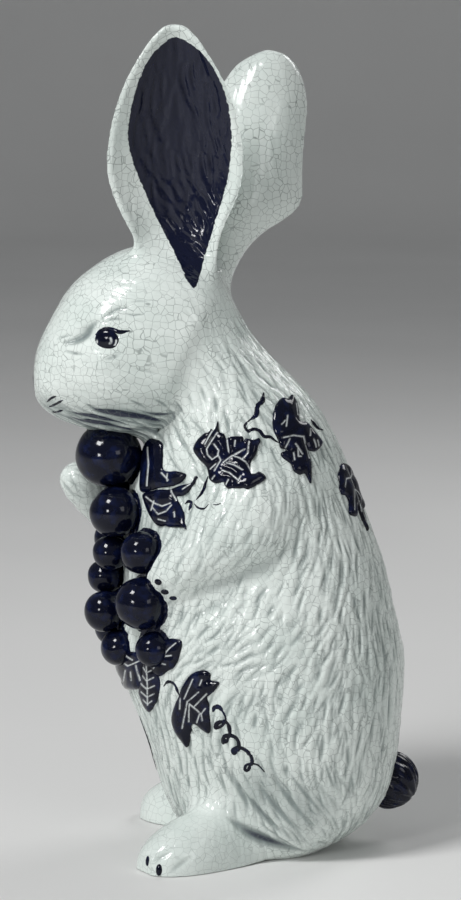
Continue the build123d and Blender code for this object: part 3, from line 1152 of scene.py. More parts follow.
    def paint(self) -> np.ndarray:
        """Signed distance to the painted areas: the ear bowls, the nose and the ground of the bunch.

        Returns:
            A distance in metres for each vertex, positive where painted.
        """
        painted = np.full(len(self.points), -self.paint_limit)
        height = self.points[:, 2]
        for bowl in EAR_BOWLS:
            near = self.owned(bowl.node, Node.HEAD) & (height > self.ear_foot)
            painted[near] = np.maximum(painted[near], bowl.depth(self.points[near], self.normals[near]))
        tip = np.abs(self.points[:, 0]) < self.nose_search
        tip &= np.abs(height - self.nose_height) < self.nose_search
        nose = self.points[tip][np.argmin(self.points[tip][:, 1])]
        painted = np.maximum(painted, self.nose_radius - np.linalg.norm(self.points - nose, axis=1))
        breast = ~self.owned(Node.HEAD)
        for row in GRAPES:
            away = np.linalg.norm(self.points[breast] - grape_centre(row), axis=1)
            painted[breast] = np.maximum(painted[breast], row[3] * MM + self.grape_ground - away)
        return np.clip(painted, -self.paint_limit, self.paint_limit)

    def pieces(self, material: bpy.types.Material) -> None:
        """Splits the skin into one closed piece for each node, and two for the trunk.

        Args:
            material: the white glaze.
        """
        # The first mark holds grey pooling and painted shade.
        marks = {"pooling_and_shade": self.pooling_and_shade, "paint": self.paint(), "fur": self.fur, "faint": self.faint}
        table = np.stack(list(marks.values()), axis=1)
        owner = self.owner[self.faces[:, 0]]
        left = self.points[self.faces[:, 0], 0] >= 0
        for number, node in enumerate(Node):
            own = owner == number
            parts = {node.value: own}
            if node is Node.TORSO:
                parts = {f"{node.value}_left": own & left, f"{node.value}_right": own & ~left}
            for name, chosen in parts.items():
                used, local = np.unique(self.faces[chosen], return_inverse=True)
                points, normals, values, faces = self.close(
                    self.points[used], self.normals[used], table[used], local.reshape(-1, 4)
                )
                piece = new_object(f"{name}_skin", points, faces, material)
                for column, mark in enumerate(marks):
                    write_mark(piece.data, mark, values[:, column])
                piece.data.normals_split_custom_set_from_vertices(normals.tolist())
                register(piece, node.value)
        bpy.data.objects.remove(self.object)

    def close(self, points: np.ndarray, normals: np.ndarray, marks: np.ndarray, faces: np.ndarray) -> tuple:
        """Closes a piece's open rims with a cap that dips into the piece.

        Args:
            points: its vertices.
            normals: their normals.
            marks: their attributes.
            faces: its faces.

        Returns:
            The points, normals and attributes, and all the faces as lists, with the caps added.
        """
        sides = np.stack([faces, np.roll(faces, -1, axis=1)], axis=-1).reshape(-1, 2)
        key = sides.min(axis=1) * len(points) + sides.max(axis=1)
        _, first, count = np.unique(key, return_index=True, return_counts=True)
        rim = sides[first[count == 1]].tolist()
        group: dict[int, int] = {}

        def root(index: int) -> int:
            """The number that stands for a vertex's rim."""
            while group.setdefault(index, index) != index:
                index = group[index]
            return index

        for start, end in rim:
            group[root(start)] = root(end)
        loops: dict[int, list[tuple[int, int]]] = {}
        for start, end in rim:
            loops.setdefault(root(start), []).append((start, end))
        middle = points.mean(axis=0)
        caps = []
        for loop in loops.values():
            corners = sorted({corner for side in loop for corner in side})
            lower = {corner: len(points) + place for place, corner in enumerate(corners)}
            sunk = points[corners] - normals[corners] * self.cap_sink_mm * MM
            inward = middle - sunk.mean(axis=0)
            inward = inward / max(np.linalg.norm(inward), TINY)
            hub = len(points) + len(corners)
            points = np.vstack([points, sunk, sunk.mean(axis=0) + inward * self.cap_dip_mm * MM])
            normals = np.vstack([normals, normals[corners], -inward])
            marks = np.vstack([marks, marks[corners], marks[corners[0]]])
            caps += [(end, start, lower[start], lower[end]) for start, end in loop]
            caps += [(lower[end], lower[start], hub) for start, end in loop]
        return points, normals, marks, faces.tolist() + caps


# Vine leaves: outlines and scratched veins as pixels of the photograph
SHOULDER_LEAF = (
    (217.9, 421.5), (219, 431.3), (223.9, 433.6), (226.2, 438.5), (229.3, 437.1), (234.6, 436.3),
    (242.7, 436.7), (243.6, 441.6), (245.8, 438.5), (253.4, 439.8), (258.8, 438), (260.5, 441.6),
    (258.3, 446.1), (256.1, 454.1), (250.7, 463), (250.7, 472.9), (255.2, 473.8), (259.6, 472),
    (265.9, 478.2), (256.1, 485.4), (248, 489.4), (243.6, 488), (229.3, 488.5), (224.8, 485.4),
    (223.9, 482.2), (215, 483.1), (209.6, 479.1), (208.8, 474.6), (206.5, 466.6), (198.9, 458.6),
    (193.6, 449.6), (197.1, 440.7), (204.3, 433.6), (208.8, 432.2), (211.4, 428.7), (213.2, 430.9),
    (215.9, 427.3),
)
SHOULDER_VEINS = (
    ((206, 444.3), (211.4, 433.6), (212.8, 430.4)), ((207.9, 448.8), (217.7, 432.7)),
    ((215, 444.3), (219.5, 450.5), (218.6, 455.9), (213.2, 459.5), (208.8, 455), (207.9, 449.6)),
    ((218.6, 454.1), (221.7, 460.4), (215.9, 471)), ((211.4, 469.3), (216.8, 464.4)),
    ((227, 437.1), (229.3, 451.4)), ((235.5, 440.7), (235, 446)),
    ((248.9, 441.6), (248, 453.2), (242.7, 459.5)), ((234.6, 455), (244.5, 449.6)),
    ((223.9, 463), (232.9, 455.9), (240, 458.6), (246.3, 463), (250.7, 471)),
    ((227.5, 463.5), (234.6, 465.7), (242.7, 471)), ((223, 471), (230.2, 473.8), (238.2, 480.9)),
    ((213.2, 479.6), (215.9, 476.4)), ((226.6, 485.4), (229.3, 480.9)), ((238.2, 482.7), (241.3, 477.3)),
)
BACK_LEAF = (
    (291.6, 394.9), (296.2, 401.8), (298.5, 411), (299.7, 420.8), (306.6, 422.5), (313.5, 430.5),
    (319.2, 437.4), (322.1, 443.1), (318.6, 448.9), (313.5, 451.7), (307.7, 448.9), (305.4, 444.3),
    (308.9, 455.8), (311.2, 465), (310.6, 483.3), (305.4, 474.1), (299.7, 474.7), (293.9, 470.7),
    (290.5, 463.8), (282.5, 458.1), (280.7, 453.5), (285.9, 450), (280.2, 447.7), (279, 442),
    (274.4, 432.8), (272.5, 422.5), (273.9, 409.8), (277.9, 401.8), (282.5, 397.8), (287.6, 398.9),
)
BACK_VEINS = (
    ((295.1, 404.1), (296.8, 415.6)), ((285.9, 416.7), (284.8, 427)), ((280.5, 425), (283.6, 421.5)),
    ((282.5, 438), (291.6, 436.2), (302, 437.4)), ((288.2, 439.7), (284.8, 447.7)),
    ((293.9, 444.3), (300.8, 454.6)), ((296.2, 447), (296.8, 457), (299.5, 457)),
    ((292.2, 453.5), (293.4, 460.4)), ((308.9, 429.4), (308.3, 436.2)), ((311.7, 439.7), (314.6, 447.7)),
    ((315.7, 441), (317.5, 446.5)), ((302, 438.5), (306.6, 451.2), (308, 458)),
)
TOP_LEAF = (
    (147.9, 439.8), (155, 439), (162.1, 443.4), (163, 458), (163.5, 469.3), (170, 471.5), (176.4, 471.1),
    (186.3, 474.6), (181.8, 481.8), (173.8, 486), (160, 488), (141.6, 491.5), (141, 470.2), (143, 450),
)
TOP_VEINS = (((150, 447), (151, 465), (149, 486)), ((163, 473), (170, 480)), ((168.6, 474), (169, 481)))
CHEST_LEAF = (
    (143.4, 494.3), (144.3, 501.4), (148.8, 513), (155, 522.9), (160.4, 526.4), (165.7, 526),
    (170.2, 527.3), (182.7, 527.8), (186.4, 529.5), (185.4, 523.8), (183.6, 512.1), (179.1, 501.4),
    (177.3, 496.5), (182.7, 496.1), (188.9, 491.6), (193.4, 485.4), (197.9, 477.3), (195.2, 476.4),
    (191.6, 482.7), (180.9, 485.4), (173.8, 488), (169, 489.5), (160, 489.5), (150, 491.5),
)
CHEST_VEINS = (
    ((148, 497), (156, 503), (164, 506), (172, 503)), ((172, 490), (177, 500)), ((156, 501), (153, 510)),
    ((155, 508), (160, 514), (168, 511), (173, 505)), ((176, 512), (176.5, 517)),
    ((160, 519), (167, 521)), ((184, 489), (191, 484)),
)
FLANK_LEAF = (
    (179.5, 695.2), (182, 687.6), (188.4, 677.3), (196, 671.6), (205, 670.3), (210, 673.5),
    (211.3, 680.2), (219, 682.4), (215.2, 690.1), (208.8, 695.8), (207.5, 697.8), (209.4, 710.5),
    (210, 732.2), (202.4, 729.6), (197.3, 725.2), (192.8, 724.5), (190.9, 733.5), (187.7, 746.9),
    (180.7, 739.8), (174.3, 729.6), (171.8, 718.2), (175, 705.4),
)
FLANK_VEINS = (
    ((194.1, 678.6), (185.8, 697.8)), ((181.4, 697.8), (181.4, 708)),
    ((189, 700.3), (187.1, 710.5), (183.9, 727.1)), ((199.9, 691.4), (189.7, 700.3)),
    ((203, 679.3), (201.1, 684.4)), ((207.5, 693.3), (196, 705.4)),
    ((190.9, 702.9), (198.6, 709.2), (202.4, 713.1), (203.7, 719.4)), ((203, 712.4), (206.2, 708)),
    ((197.9, 722), (201.1, 713.1)), ((190.9, 704.1), (190.3, 720.7)),
)
BUNCH_LEFT_LEAF = (
    (153, 650), (162.9, 641.6), (171.8, 638.4), (180.7, 640.4), (182, 644.2), (179.5, 656.9),
    (174.3, 667.1), (168, 671), (160.3, 676.1), (152, 671), (150, 660),
)
BUNCH_LEFT_VEINS = (
    ((155, 668), (162, 659), (171, 648), (177, 643)), ((162, 659), (158, 650)), ((167, 653), (165, 645)),
    ((165, 656), (173, 655)), ((160, 662), (167, 664)),
)
BUNCH_MIDDLE_LEAF = (
    (145, 655.7), (151.4, 662), (156.5, 671), (160.3, 681.2), (159.7, 692.7), (156.5, 701.6),
    (150.1, 711.8), (143.8, 705.4), (139.9, 695.2), (139.3, 688.8), (142.5, 674.8), (143.1, 664.6),
)
BUNCH_MIDDLE_VEINS = (
    ((147.6, 660), (149.4, 684), (149.6, 704)), ((144.5, 667), (148.4, 672), (153, 670)),
    ((143.5, 675), (148.7, 680), (155, 677)), ((142.5, 683), (149, 688), (156, 685)),
    ((143, 691), (149.3, 696), (155.5, 693)), ((145, 699), (149.5, 703), (153.5, 700)),
)
BUNCH_FRONT_LEAF = (
    (111.9, 654.4), (124.6, 651.8), (139.9, 653.1), (143.8, 662), (142.5, 674.8), (139.9, 687.6),
    (129.7, 689.2), (119.5, 688.2), (114.4, 674.8),
)
BUNCH_FRONT_VEINS = (
    ((119.5, 658.2), (130.4, 665.2), (140.6, 660.8)), ((126.5, 654.4), (134.8, 659.5)),
    ((127.8, 669.7), (126, 680)), ((132.9, 671), (133.6, 679.3)), ((138, 664.6), (141.2, 680)),
    ((118.3, 677.3), (122, 678.6)),
)
# A leaf drawn about its own middle, for places that the photograph hides
PLAIN_LEAF = (
    (-5, -33), (6, -34), (19, -27), (27, -11), (20, -3), (25, 13), (15, 18), (7, 10), (5, 26), (0, 38),
    (-6, 24), (-8, 10), (-17, 18), (-26, 12), (-20, -3), (-28, -12), (-18, -27),
)
PLAIN_VEINS = (
    ((0, -28), (1, 0), (0, 30)), ((1, -18), (12, -20), (20, -14)), ((1, -18), (-12, -20), (-21, -15)),
    ((1, -6), (11, 2), (19, 11)), ((1, -6), (-11, 2), (-19, 10)), ((1, 10), (3, 17)),
)


@dataclass(frozen=True)
class VineLeaf:
    """One vine leaf in relief, moulded to the skin under it.

    Args:
        node: the CAD node that it replaces.
        outline: its corners in pixels.
        veins: its scratched lines in pixels.
        far: whether it is the mirror image on the far side.
        turn: for a leaf about its own middle, degrees from hanging straight.
    """

    node: str
    outline: FlatPath
    veins: tuple[FlatPath, ...]
    far: bool = False
    turn: float | None = None
    relief: float = 2.0 * MM
    sunk_mm: float = 1.2
    rim_step: float = 1.0
    grid: float = 0.65
    margin: float = 0.5
    scratch_width: float = 0.28 * MM
    scratch_depth: float = 0.3 * MM
    crown_reach: float = 1.5 * MM
    puff_reach: float = 2.4 * MM
    rim_share: float = 0.25
    crown_share: float = 0.55
    puff_share: float = 0.40
    cast_height_mm: float = 30.0
    weld: float = 1e-5

    def build(self, skin: FigureSkin, material: bpy.types.Material) -> None:
        """Makes the leaf.

        Args:
            skin: the skin that it lies on.
            material: the cobalt glaze.
        """
        rim = smooth_path(np.array(self.outline, dtype=float), self.rim_step, closed=True)
        spans = zip(rim.min(axis=0), rim.max(axis=0))
        columns, rows = (np.arange(low, high, self.grid) for low, high in spans)
        inner = np.stack([axis.ravel() for axis in np.meshgrid(columns, rows)], axis=1)
        inner = inner[inside_distance(inner, rim) > self.margin]
        ring = [(index, (index + 1) % len(rim)) for index in range(len(rim))]
        corners = [Vector(point) for point in np.vstack([rim, inner])]
        filled = delaunay_2d_cdt(corners, ring, [], 1, self.weld)
        flat = np.array([tuple(point) for point in filled[0]])
        faces = [tuple(face) for face in filled[2]]
        edge = np.maximum(inside_distance(flat, rim), 0.0) * PIXEL
        veins = [np.array(vein_and_catchlight, dtype=float) for vein_and_catchlight in self.veins]
        away = np.min([segment_distance(flat, vein_and_catchlight) for vein_and_catchlight in veins], axis=0) * PIXEL
        scratch = bell(away / self.scratch_width)
        crown = 1 - np.exp(-edge / self.crown_reach)
        puff = 1 - bell(away / self.puff_reach)
        height = self.rim_share + self.crown_share * crown + self.puff_share * puff * crown
        height = self.relief * height - self.scratch_depth * scratch
        seats = self.seats(skin, flat)
        points = [hit + out * float(rise) for (hit, out), rise in zip(seats, height)]
        floor = [hit - out * self.sunk_mm * MM for hit, out in seats]
        count = len(points)
        borders: set[tuple[int, int]] = set()
        for face in faces:
            for start, end in zip(face, face[1:] + face[:1]):
                if (end, start) in borders:
                    borders.remove((end, start))
                else:
                    borders.add((start, end))
        under = [tuple(index + count for index in reversed(face)) for face in faces]
        walls = [(end, start, start + count, end + count) for start, end in sorted(borders)]
        piece = new_object(f"{self.node}_relief", points + floor, faces + under + walls, material)
        top = piece.data.polygons[0]
        if top.normal.dot(seats[top.vertices[0]][1]) < 0:
            piece.data.flip_normals()
        write_mark(piece.data, "vein_and_catchlight", np.concatenate([scratch, np.zeros(count)]))
        register(piece, self.node)

    def seats(self, skin: FigureSkin, flat: np.ndarray) -> list[tuple[Vector, Vector]]:
        """Where each flat point sits on the skin.

        Args:
            skin: the skin.
            flat: the points in pixels.

        Returns:
            Each point's place and the way out of the skin there.
        """
        if self.turn is None:
            return [skin.cast(x, y, self.far, calm=True) for x, y in flat]
        low, high = (Vector(corner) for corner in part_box(self.node))
        seat, out = skin.calm_tree.find_nearest((low + high) / 2)[:2]
        hang = (out * out.z - UP).normalized()
        hang = Matrix.Rotation(math.radians(self.turn), 3, out) @ hang
        side = hang.cross(out)
        made = []
        for x, y in flat * PIXEL:
            start = seat + side * x + hang * y
            hit, normal = skin.calm_tree.ray_cast(start + out * self.cast_height_mm * MM, -out)[:2]
            if hit is None:
                hit, normal = skin.calm_tree.find_nearest(start)[:2]
            made.append((hit, (normal + out).normalized()))
        return made


LEAVES = (
    VineLeaf("left_chest_leaf", CHEST_LEAF, CHEST_VEINS),
    VineLeaf("left_shoulder_leaf", SHOULDER_LEAF, SHOULDER_VEINS),
    VineLeaf("left_back_leaf", BACK_LEAF, BACK_VEINS),
    VineLeaf("nape_leaf", PLAIN_LEAF, PLAIN_VEINS, turn=4.0),
    VineLeaf("left_flank_leaf", FLANK_LEAF, FLANK_VEINS),
    VineLeaf("bunch_leaf_top", TOP_LEAF, TOP_VEINS),
    VineLeaf("bunch_leaf_front", BUNCH_FRONT_LEAF, BUNCH_FRONT_VEINS),
    VineLeaf("bunch_leaf_middle", BUNCH_MIDDLE_LEAF, BUNCH_MIDDLE_VEINS),
    VineLeaf("bunch_leaf_left", BUNCH_LEFT_LEAF, BUNCH_LEFT_VEINS),
    VineLeaf("bunch_leaf_right", PLAIN_LEAF, PLAIN_VEINS, turn=0.0),
    VineLeaf("right_chest_leaf", CHEST_LEAF, CHEST_VEINS, far=True),
    VineLeaf("right_shoulder_leaf", SHOULDER_LEAF, SHOULDER_VEINS, far=True),
    VineLeaf("right_back_leaf", BACK_LEAF, BACK_VEINS, far=True),
    VineLeaf("right_flank_leaf", FLANK_LEAF, FLANK_VEINS, far=True),
)


@dataclass(frozen=True)
class GrapeBunch:
    """The bunch of grapes on the breast, with its sizes as shares of a grape's radius."""

    uneven: float = 0.012
    stretch: float = 0.035
    dimple: float = 0.05
    dimple_reach: float = 0.03
    wave: float = 2.5
    wave_start: float = 6.0
    stem: tuple[float, float, float] = (0.25, -0.3, 0.92)
    subdivisions: int = 5
    seed: int = SEED + 3

    def build(self, material: bpy.types.Material) -> None:
        """Makes each grape as a slightly uneven ball with a dimple.

        Args:
            material: the cobalt glaze.
        """
        draw = np.random.default_rng(self.seed)
        for number, row in enumerate(GRAPES, 1):
            ball = new_ball(f"grape_{number:02d}_ball", self.subdivisions, material)
            points = read_points(ball.data)
            way = draw.normal(0.0, 1.0, 3)
            way /= np.linalg.norm(way)
            wave = np.sin(points @ draw.normal(0.0, self.wave, 3) + draw.uniform(0, self.wave_start))
            stem = np.array((self.stem[0] * way[0], *self.stem[1:]))
            dent = np.exp(-((1 - points @ stem) / self.dimple_reach))
            form = (1 + self.uneven * wave) * (1 + self.stretch * (points @ way) ** 2) - self.dimple * dent
            radius = row[3] * MM * form
            write_points(ball.data, points * radius[:, None] + grape_centre(row))
            register(ball, f"grape_{number:02d}")


@dataclass(frozen=True)
class Tail:
    """The tufted tail: its half sizes in millimetres, and its tufts as shares of them."""

    half_sizes: tuple[float, float, float] = (14.4, 14.7, 14.4)
    depth_share: float = 0.59
    height_share: float = 0.115
    hang: tuple[float, float, float] = (0.15, 0.75, -0.5)
    tufts: int = 90
    half_length: float = 0.55
    half_width: float = 0.09
    cut: float = 0.085
    tuft_depth: tuple[float, float] = (0.5, 1.0)
    least_facing: float = 0.4
    subdivisions: int = 6
    seed: int = SEED + 5

    def build(self, material: bpy.types.Material) -> None:
        """Makes the tail.

        Args:
            material: the cobalt glaze.
        """
        draw = np.random.default_rng(self.seed)
        tail = new_ball("tail_tuft", self.subdivisions, material)
        points = read_points(tail.data)
        hang = np.array(self.hang)
        groove = np.zeros(len(points))
        for _ in range(self.tufts):
            start = draw.normal(0.0, 1.0, 3)
            start /= np.linalg.norm(start)
            along = hang - start * (hang @ start)
            along /= max(np.linalg.norm(along), TINY)
            gap = points - start
            run, off = gap @ along, gap @ np.cross(start, along)
            tuft = clamp(1 - (run / self.half_length) ** 2) * bell(off / self.half_width)
            tuft = tuft * ((points @ start) > self.least_facing)
            groove = np.maximum(groove, draw.uniform(*self.tuft_depth) * tuft)
        points = points * (1 - self.cut * groove)[:, None]
        centre = np.array((0.0, self.depth_share * TORSO_DEPTH, self.height_share * TORSO_HEIGHT))
        write_points(tail.data, points * (np.array(self.half_sizes) * MM) + centre)
        register(tail, "tail")


# Painted lines, eyes and claws
@dataclass(frozen=True)
class BrushLine:
    """A line painted on the glaze along pixels of the photograph, and its mirror image where asked.

    Args:
        name: the piece's name.
        path: pixels that the line passes through.
        half_width: its half width in millimetres.
        mirrored: whether the far side has the same line.
    """

    name: str
    path: FlatPath
    half_width: float
    mirrored: bool = True
    step: float = 0.9
    rise: float = 0.22 * MM
    corners: int = 8
    end_share: float = 0.25
    end_slope: float = 4.5

    def build(self, skin: FigureSkin, material: bpy.types.Material) -> None:
        """Makes the line on the near side, and on the far side where it is mirrored.

        Args:
            skin: the skin that it is painted on.
            material: the paint.
        """
        path = smooth_path(np.array(self.path, dtype=float), self.step)
        near = [skin.cast(x, y)[0] for x, y in path]
        sides = {"left": near}
        if self.mirrored:
            sides["right"] = [skin.tree.find_nearest(Vector((-p.x, p.y, p.z)))[0] for p in near]
        for label, points in sides.items():
            rings = self.rings(points, skin)
            piece = new_object(f"{self.name}_{label}", rings, self.tube(len(points)), material)
            register(piece)

    def rings(self, points: list[Vector], skin: FigureSkin) -> list[Vector]:
        """The corners of a flat tube with tapered ends along points of the skin.

        Args:
            points: the points.
            skin: the skin.

        Returns:
            The corners, ring by ring.
        """
        turns = [2 * math.pi * corner / self.corners for corner in range(self.corners)]
        made = []
        last = len(points) - 1
        for index, point in enumerate(points):
            ahead = points[min(index + 1, last)] - points[max(index - 1, 0)]
            out = skin.tree.find_nearest(point)[1]
            side = out.cross(ahead).normalized()
            share = index / last
            full = min(1.0, self.end_slope * share, self.end_slope * (1 - share))
            half = self.half_width * MM * (self.end_share + (1 - self.end_share) * full)
            made += [point + side * half * math.cos(t) + out * self.rise * math.sin(t) for t in turns]
        return made

    def tube(self, count: int) -> list[tuple[int, ...]]:
        """The faces of a closed tube.

        Args:
            count: how many rings it has.

        Returns:
            The faces.
        """
        faces = []
        for base in range(0, (count - 1) * self.corners, self.corners):
            top = base + self.corners
            for corner in range(self.corners):
                after = (corner + 1) % self.corners
                faces.append((base + corner, base + after, top + after, top + corner))
        end = count * self.corners
        return faces + [tuple(reversed(range(self.corners))), tuple(range(end - self.corners, end))]


LINES = (
    BrushLine("tendril_flank", (
        (213.6, 710), (217.8, 707.3), (222.6, 711.4), (225.8, 719.4), (222.1, 725.5), (215.3, 727.9),
        (217.8, 723), (225.8, 721.8), (229.4, 729.1), (228.2, 738.8), (222.6, 742.4), (223.3, 737.6),
        (229.4, 735.2), (236.7, 738.8), (239.1, 747.3), (234.2, 753.3), (233.2, 749.7), (239.1, 747.5),
        (246.4, 750.9), (251.2, 757), (251.7, 763), (247.6, 770.3), (244.8, 769.1), (246.4, 765),
        (252.4, 763.8), (258.5, 765.5), (264.5, 772),
    ), 1.05),
    BrushLine("tendril_flank_head", ((212.8, 712), (214.6, 708), (218.6, 706.8), (222.6, 711.4)), 1.2),
    BrushLine("tendril_neck_top", (
        (263.7, 392.5), (262.3, 400.5), (257.9, 405.9), (256, 414.8), (249.8, 420.2),
    ), 1.25),
    BrushLine("tendril_neck", (
        (251, 418.5), (244.9, 425.5), (248, 430.9), (253.4, 429.1), (259.6, 430.9), (264.1, 436.3),
        (270.4, 437.1), (276.6, 441.6), (280, 442.5),
    ), 0.85),
    BrushLine("stem_nape", ((311, 419.5), (313.5, 423), (317.5, 427.5), (323, 430)), 0.9, False),
    BrushLine("stem_chest", ((207.9, 476.4), (206, 482.7), (202.5, 491.6), (196.3, 499.6)), 0.85),
    BrushLine("tendril_chest", (
        (185, 504), (188, 501.5), (191.5, 502.5), (190.5, 506), (188.8, 510.4),
    ), 0.8),
    BrushLine("tendril_chest_end", ((194, 503.5), (198, 507.7), (204.3, 508.6), (208.8, 504.1)), 0.5),
    BrushLine("tendril_chest_tip", ((213, 504.6), (217, 504.8), (221, 503.2)), 0.3),
    BrushLine("stem_flank", ((163.5, 686.3), (168, 681.8), (174.3, 684.4), (179.5, 696)), 0.8),
    BrushLine("lash", ((95.5, 335), (100, 331), (107, 328.8), (114, 330), (120, 332), (130, 330.8)), 1.0),
    BrushLine("lip_upper", ((47, 402), (51, 398.5), (56, 396)), 0.6),
    BrushLine("lip_middle", ((48.7, 407), (55, 404.5), (63, 400)), 0.65),
    BrushLine("lip_lower", ((52, 412), (57, 412), (63, 410)), 0.6),
    BrushLine("belly_line", (
        (139.5, 716), (144.5, 729.6), (148.5, 741), (152.5, 755), (155, 770),
    ), 0.5, False),
)


@dataclass(frozen=True)
class EyeCatchlights:
    """Painted highlights of an eye, white catchlight crescents: an arc in the middle, one at its back and a
    dot in front.

    All the sizes are shares of the eye's half length and half height.
    """

    arc_radius: float = 0.46
    arc_width: float = 0.07
    arc_turn: float = 0.85
    arc_end: float = 0.25
    back_shift: float = 0.06
    back_radius: float = 0.70
    back_edge: float = 0.05
    back_start: float = 0.3
    back_drop: float = 0.10
    back_half_height: float = 0.34
    back_end: float = 0.10
    rim: float = 0.91
    rim_edge: float = 0.04
    front_place: tuple[float, float] = (0.74, 0.28)
    front_size: tuple[float, float] = (0.06, 0.15)
    strength: float = 1.5

    def shape(self, ball: np.ndarray) -> np.ndarray:
        """Where the crescents are.

        Args:
            ball: points of a unit ball, its first two columns along and up the eye.

        Returns:
            1 on a crescent and 0 elsewhere.
        """
        along, up = ball[:, 0], ball[:, 1]
        from_middle = np.hypot(along, up)
        turn = np.abs(np.arctan2(up, along))
        arc = bell((from_middle - self.arc_radius) / self.arc_width)
        arc = arc * clamp((self.arc_turn - turn) / self.arc_end)
        back = clamp((np.hypot(along - self.back_shift, up) - self.back_radius) / self.back_edge)
        back = back * (along > self.back_start)
        height = clamp((self.back_half_height - np.abs(up + self.back_drop)) / self.back_end)
        back = back * (height * clamp((self.rim - from_middle) / self.rim_edge))
        off_along = (along + self.front_place[0]) / self.front_size[0]
        off_up = (up + self.front_place[1]) / self.front_size[1]
        front = np.exp(-(off_along**2) - off_up**2)
        return clamp(self.strength * np.maximum(np.maximum(arc, back), front)) * (ball[:, 2] > 0)


@dataclass(frozen=True)
class GlazeSpot:
    """An oval of dark glaze set on the skin, such as an eye, and its mirror image where asked.

    Args:
        name: the piece's name.
        at: its pixel in the photograph.
        size: half length, half height and rise in millimetres.
        tilt: degrees from level.
        painted_catchlight: whether it has the painted highlights of an eye, its white catchlight crescents.
        on_foot: whether it is on a hind foot.
        mirrored: whether the far side has it too.
    """

    name: str
    at: tuple[float, float]
    size: tuple[float, float, float]
    tilt: float = 0.0
    painted_catchlight: bool = False
    on_foot: bool = False
    mirrored: bool = True
    subdivisions: int = 5

    def build(self, skin: FigureSkin, material: bpy.types.Material) -> None:
        """Makes the oval on the near side, and on the far side where it is mirrored.

        Args:
            skin: the skin.
            material: the dark glaze.
        """
        near = skin.cast(*self.at)[0]
        far = Vector((-near.x, near.y, near.z))
        if self.on_foot:
            far = FAR_FOOT @ far
        seats = {"left": near, "right": far} if self.mirrored else {"left": near}
        for label, seat in seats.items():
            point, out = skin.tree.find_nearest(seat)[:2]
            mirror = 1.0 if label == "left" else -1.0
            level = UP.cross(out).normalized() * mirror
            level = Matrix.Rotation(math.radians(self.tilt) * mirror, 3, out) @ level
            up = out.cross(level) * mirror
            frame = np.array([tuple(axis * size) for axis, size in zip((level, up, out), self.size)]) * MM
            spot = new_ball(f"{self.name}_{label}", self.subdivisions, material)
            ball = read_points(spot.data)
            write_points(spot.data, ball @ frame + np.array(point))
            if mirror < 0:
                spot.data.flip_normals()
            # White catchlight crescents on the eye are painted highlights.
            if self.painted_catchlight:
                write_mark(spot.data, "vein_and_catchlight", EyeCatchlights().shape(ball))
            register(spot)


# Carries the mirror image of the near foot onto the far foot, which is turned out less
FAR_FOOT = (
    Matrix.Translation((-17.1 * MM, 34.7 * MM, 0.0))
    @ Matrix.Rotation(math.radians(12.0), 4, "Z")
    @ Matrix.Translation((17.1 * MM, -29.9 * MM, 0.0))
)

SPOTS = (
    # The eye carries painted highlights.
    GlazeSpot("eye", (107, 340), (5.9, 4.9, 2.0), -6.0, True),
    GlazeSpot("claw_foot_inner", (159, 870), (1.5, 2.8, 0.7), on_foot=True),
    GlazeSpot("claw_foot_outer", (147.5, 861), (1.2, 2.4, 0.7), on_foot=True),
    GlazeSpot("claw_paw_upper", (158, 582), (2.0, 1.5, 0.7), mirrored=False),
    GlazeSpot("claw_paw_middle", (165, 592), (2.0, 1.5, 0.7), mirrored=False),
    GlazeSpot("claw_paw_lower", (173, 598), (2.0, 1.4, 0.7), mirrored=False),
)


@dataclass(frozen=True)
class Lamp:
    """A square soft lamp, with its side in metres and its power in watts."""

    name: str
    place: tuple[float, float, float]
    aim: tuple[float, float, float]
    size: float
    power: float

    def build(self) -> None:
        """Hangs the lamp."""
        bpy.ops.object.light_add(type="AREA", location=self.place)
        lamp = bpy.context.object
        lamp.name = self.name
        lamp.data.size = self.size
        lamp.data.energy = self.power
        way = Vector(self.aim) - Vector(self.place)
        lamp.rotation_euler = way.to_track_quat("-Z", "Y").to_euler()


LAMPS = (
    Lamp("key", (0.78, -0.92, 1.60), (0.0, -0.02, 0.22), 0.46, 22.0),
    Lamp("front", (1.20, -0.86, 0.48), (0.0, 0.0, 0.16), 0.20, 4.0),
    Lamp("fill", (1.30, 0.85, 0.70), (0.0, 0.02, 0.18), 0.5, 2.0),
    Lamp("back", (-0.9, 0.9, 1.1), (0.0, 0.0, 0.25), 0.6, 6.0),
)


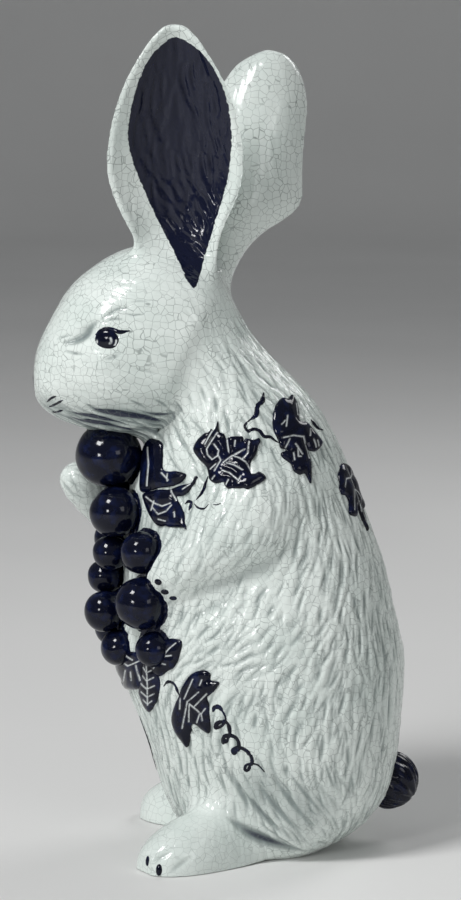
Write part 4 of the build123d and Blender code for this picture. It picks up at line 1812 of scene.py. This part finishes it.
@dataclass(frozen=True)
class Stage:
    """Floor, surroundings, lights and camera."""

    floor_colour: Colour = (0.80, 0.80, 0.79, 1.0)
    floor_tone: Mottle = Mottle(3.0, Span(0.3, 0.7, 0.0, 1.0))
    floor_shade: float = 0.97
    floor_roughness: float = 0.6
    floor_gloss: float = 0.5
    flat_reach: float = 3.6
    bend: float = 1.0
    bend_steps: int = 12
    wall_top: float = 2.6
    segments: int = 64
    sky_colour: Colour = (0.95, 0.97, 1.0, 1.0)
    sky_strength: float = 0.20
    clip_start: float = 0.01

    def build(self) -> None:
        """Sets the whole stage."""
        self.floor()
        self.world()
        for lamp in LAMPS:
            lamp.build()
        self.camera()

    def floor(self) -> None:
        """Lays a plain round pale floor that curves up all round into a backdrop."""
        turns = [step / self.bend_steps * math.pi / 2 for step in range(self.bend_steps + 1)]
        reaches = [self.flat_reach + self.bend * math.sin(turn) for turn in turns]
        heights = [self.bend * (1 - math.cos(turn)) for turn in turns]
        profile = list(zip(reaches, heights)) + [(self.flat_reach + self.bend, self.wall_top)]
        count = self.segments
        angles = [2 * math.pi * step / count for step in range(count)]
        points = [(0.0, 0.0, 0.0)]
        for reach, height in profile:
            points += [(reach * math.cos(angle), reach * math.sin(angle), height) for angle in angles]
        faces = [(0, 1 + step, 1 + (step + 1) % count) for step in range(count)]
        for inner in range(1, 1 + (len(profile) - 1) * count, count):
            outer = inner + count
            for step in range(count):
                after = (step + 1) % count
                faces.append((inner + step, outer + step, outer + after, inner + after))
        shader = Shader("floor")
        shade = tuple(channel * self.floor_shade for channel in self.floor_colour[:3]) + (1.0,)
        colour = shader.mix(shader.mottle(self.floor_tone), self.floor_colour, shade)
        material = shader.finish(colour, self.floor_roughness, self.floor_gloss)
        new_object("floor", points, faces, material)

    def world(self) -> None:
        """Fills the surroundings with even light."""
        world = bpy.data.worlds.new("studio")
        bpy.context.scene.world = world
        world.use_nodes = True
        ground = world.node_tree.nodes["Background"]
        ground.inputs["Color"].default_value = self.sky_colour
        ground.inputs["Strength"].default_value = self.sky_strength

    def camera(self) -> None:
        """Stands the camera where the photograph was taken."""
        bpy.ops.object.camera_add(location=VIEW.place)
        camera = bpy.context.object
        camera.rotation_euler = (VIEW.aim - VIEW.place).to_track_quat("-Z", "Y").to_euler()
        camera.data.lens = VIEW.lens
        camera.data.sensor_width = VIEW.sensor
        camera.data.clip_start = self.clip_start
        bpy.context.scene.camera = camera


def main() -> None:
    """Loads the frame and dresses it."""
    logging.basicConfig(level=logging.INFO, format="%(name)s: %(message)s")
    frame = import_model()
    bpy.context.scene.view_settings.view_transform = "Standard"
    white = WhiteGlaze().build()
    cobalt = CobaltGlaze().build()
    skin = FigureSkin(frame["nodes"])
    skin.pieces(white)
    for leaf in LEAVES:
        leaf.build(skin, cobalt)
    GrapeBunch().build(cobalt)
    Tail().build(cobalt)
    for mark in LINES + SPOTS:
        mark.build(skin, cobalt)
    Stage().build()
    LOG.info("dressed with %d leaves", len(LEAVES))


if __name__ == "__main__":
    main()
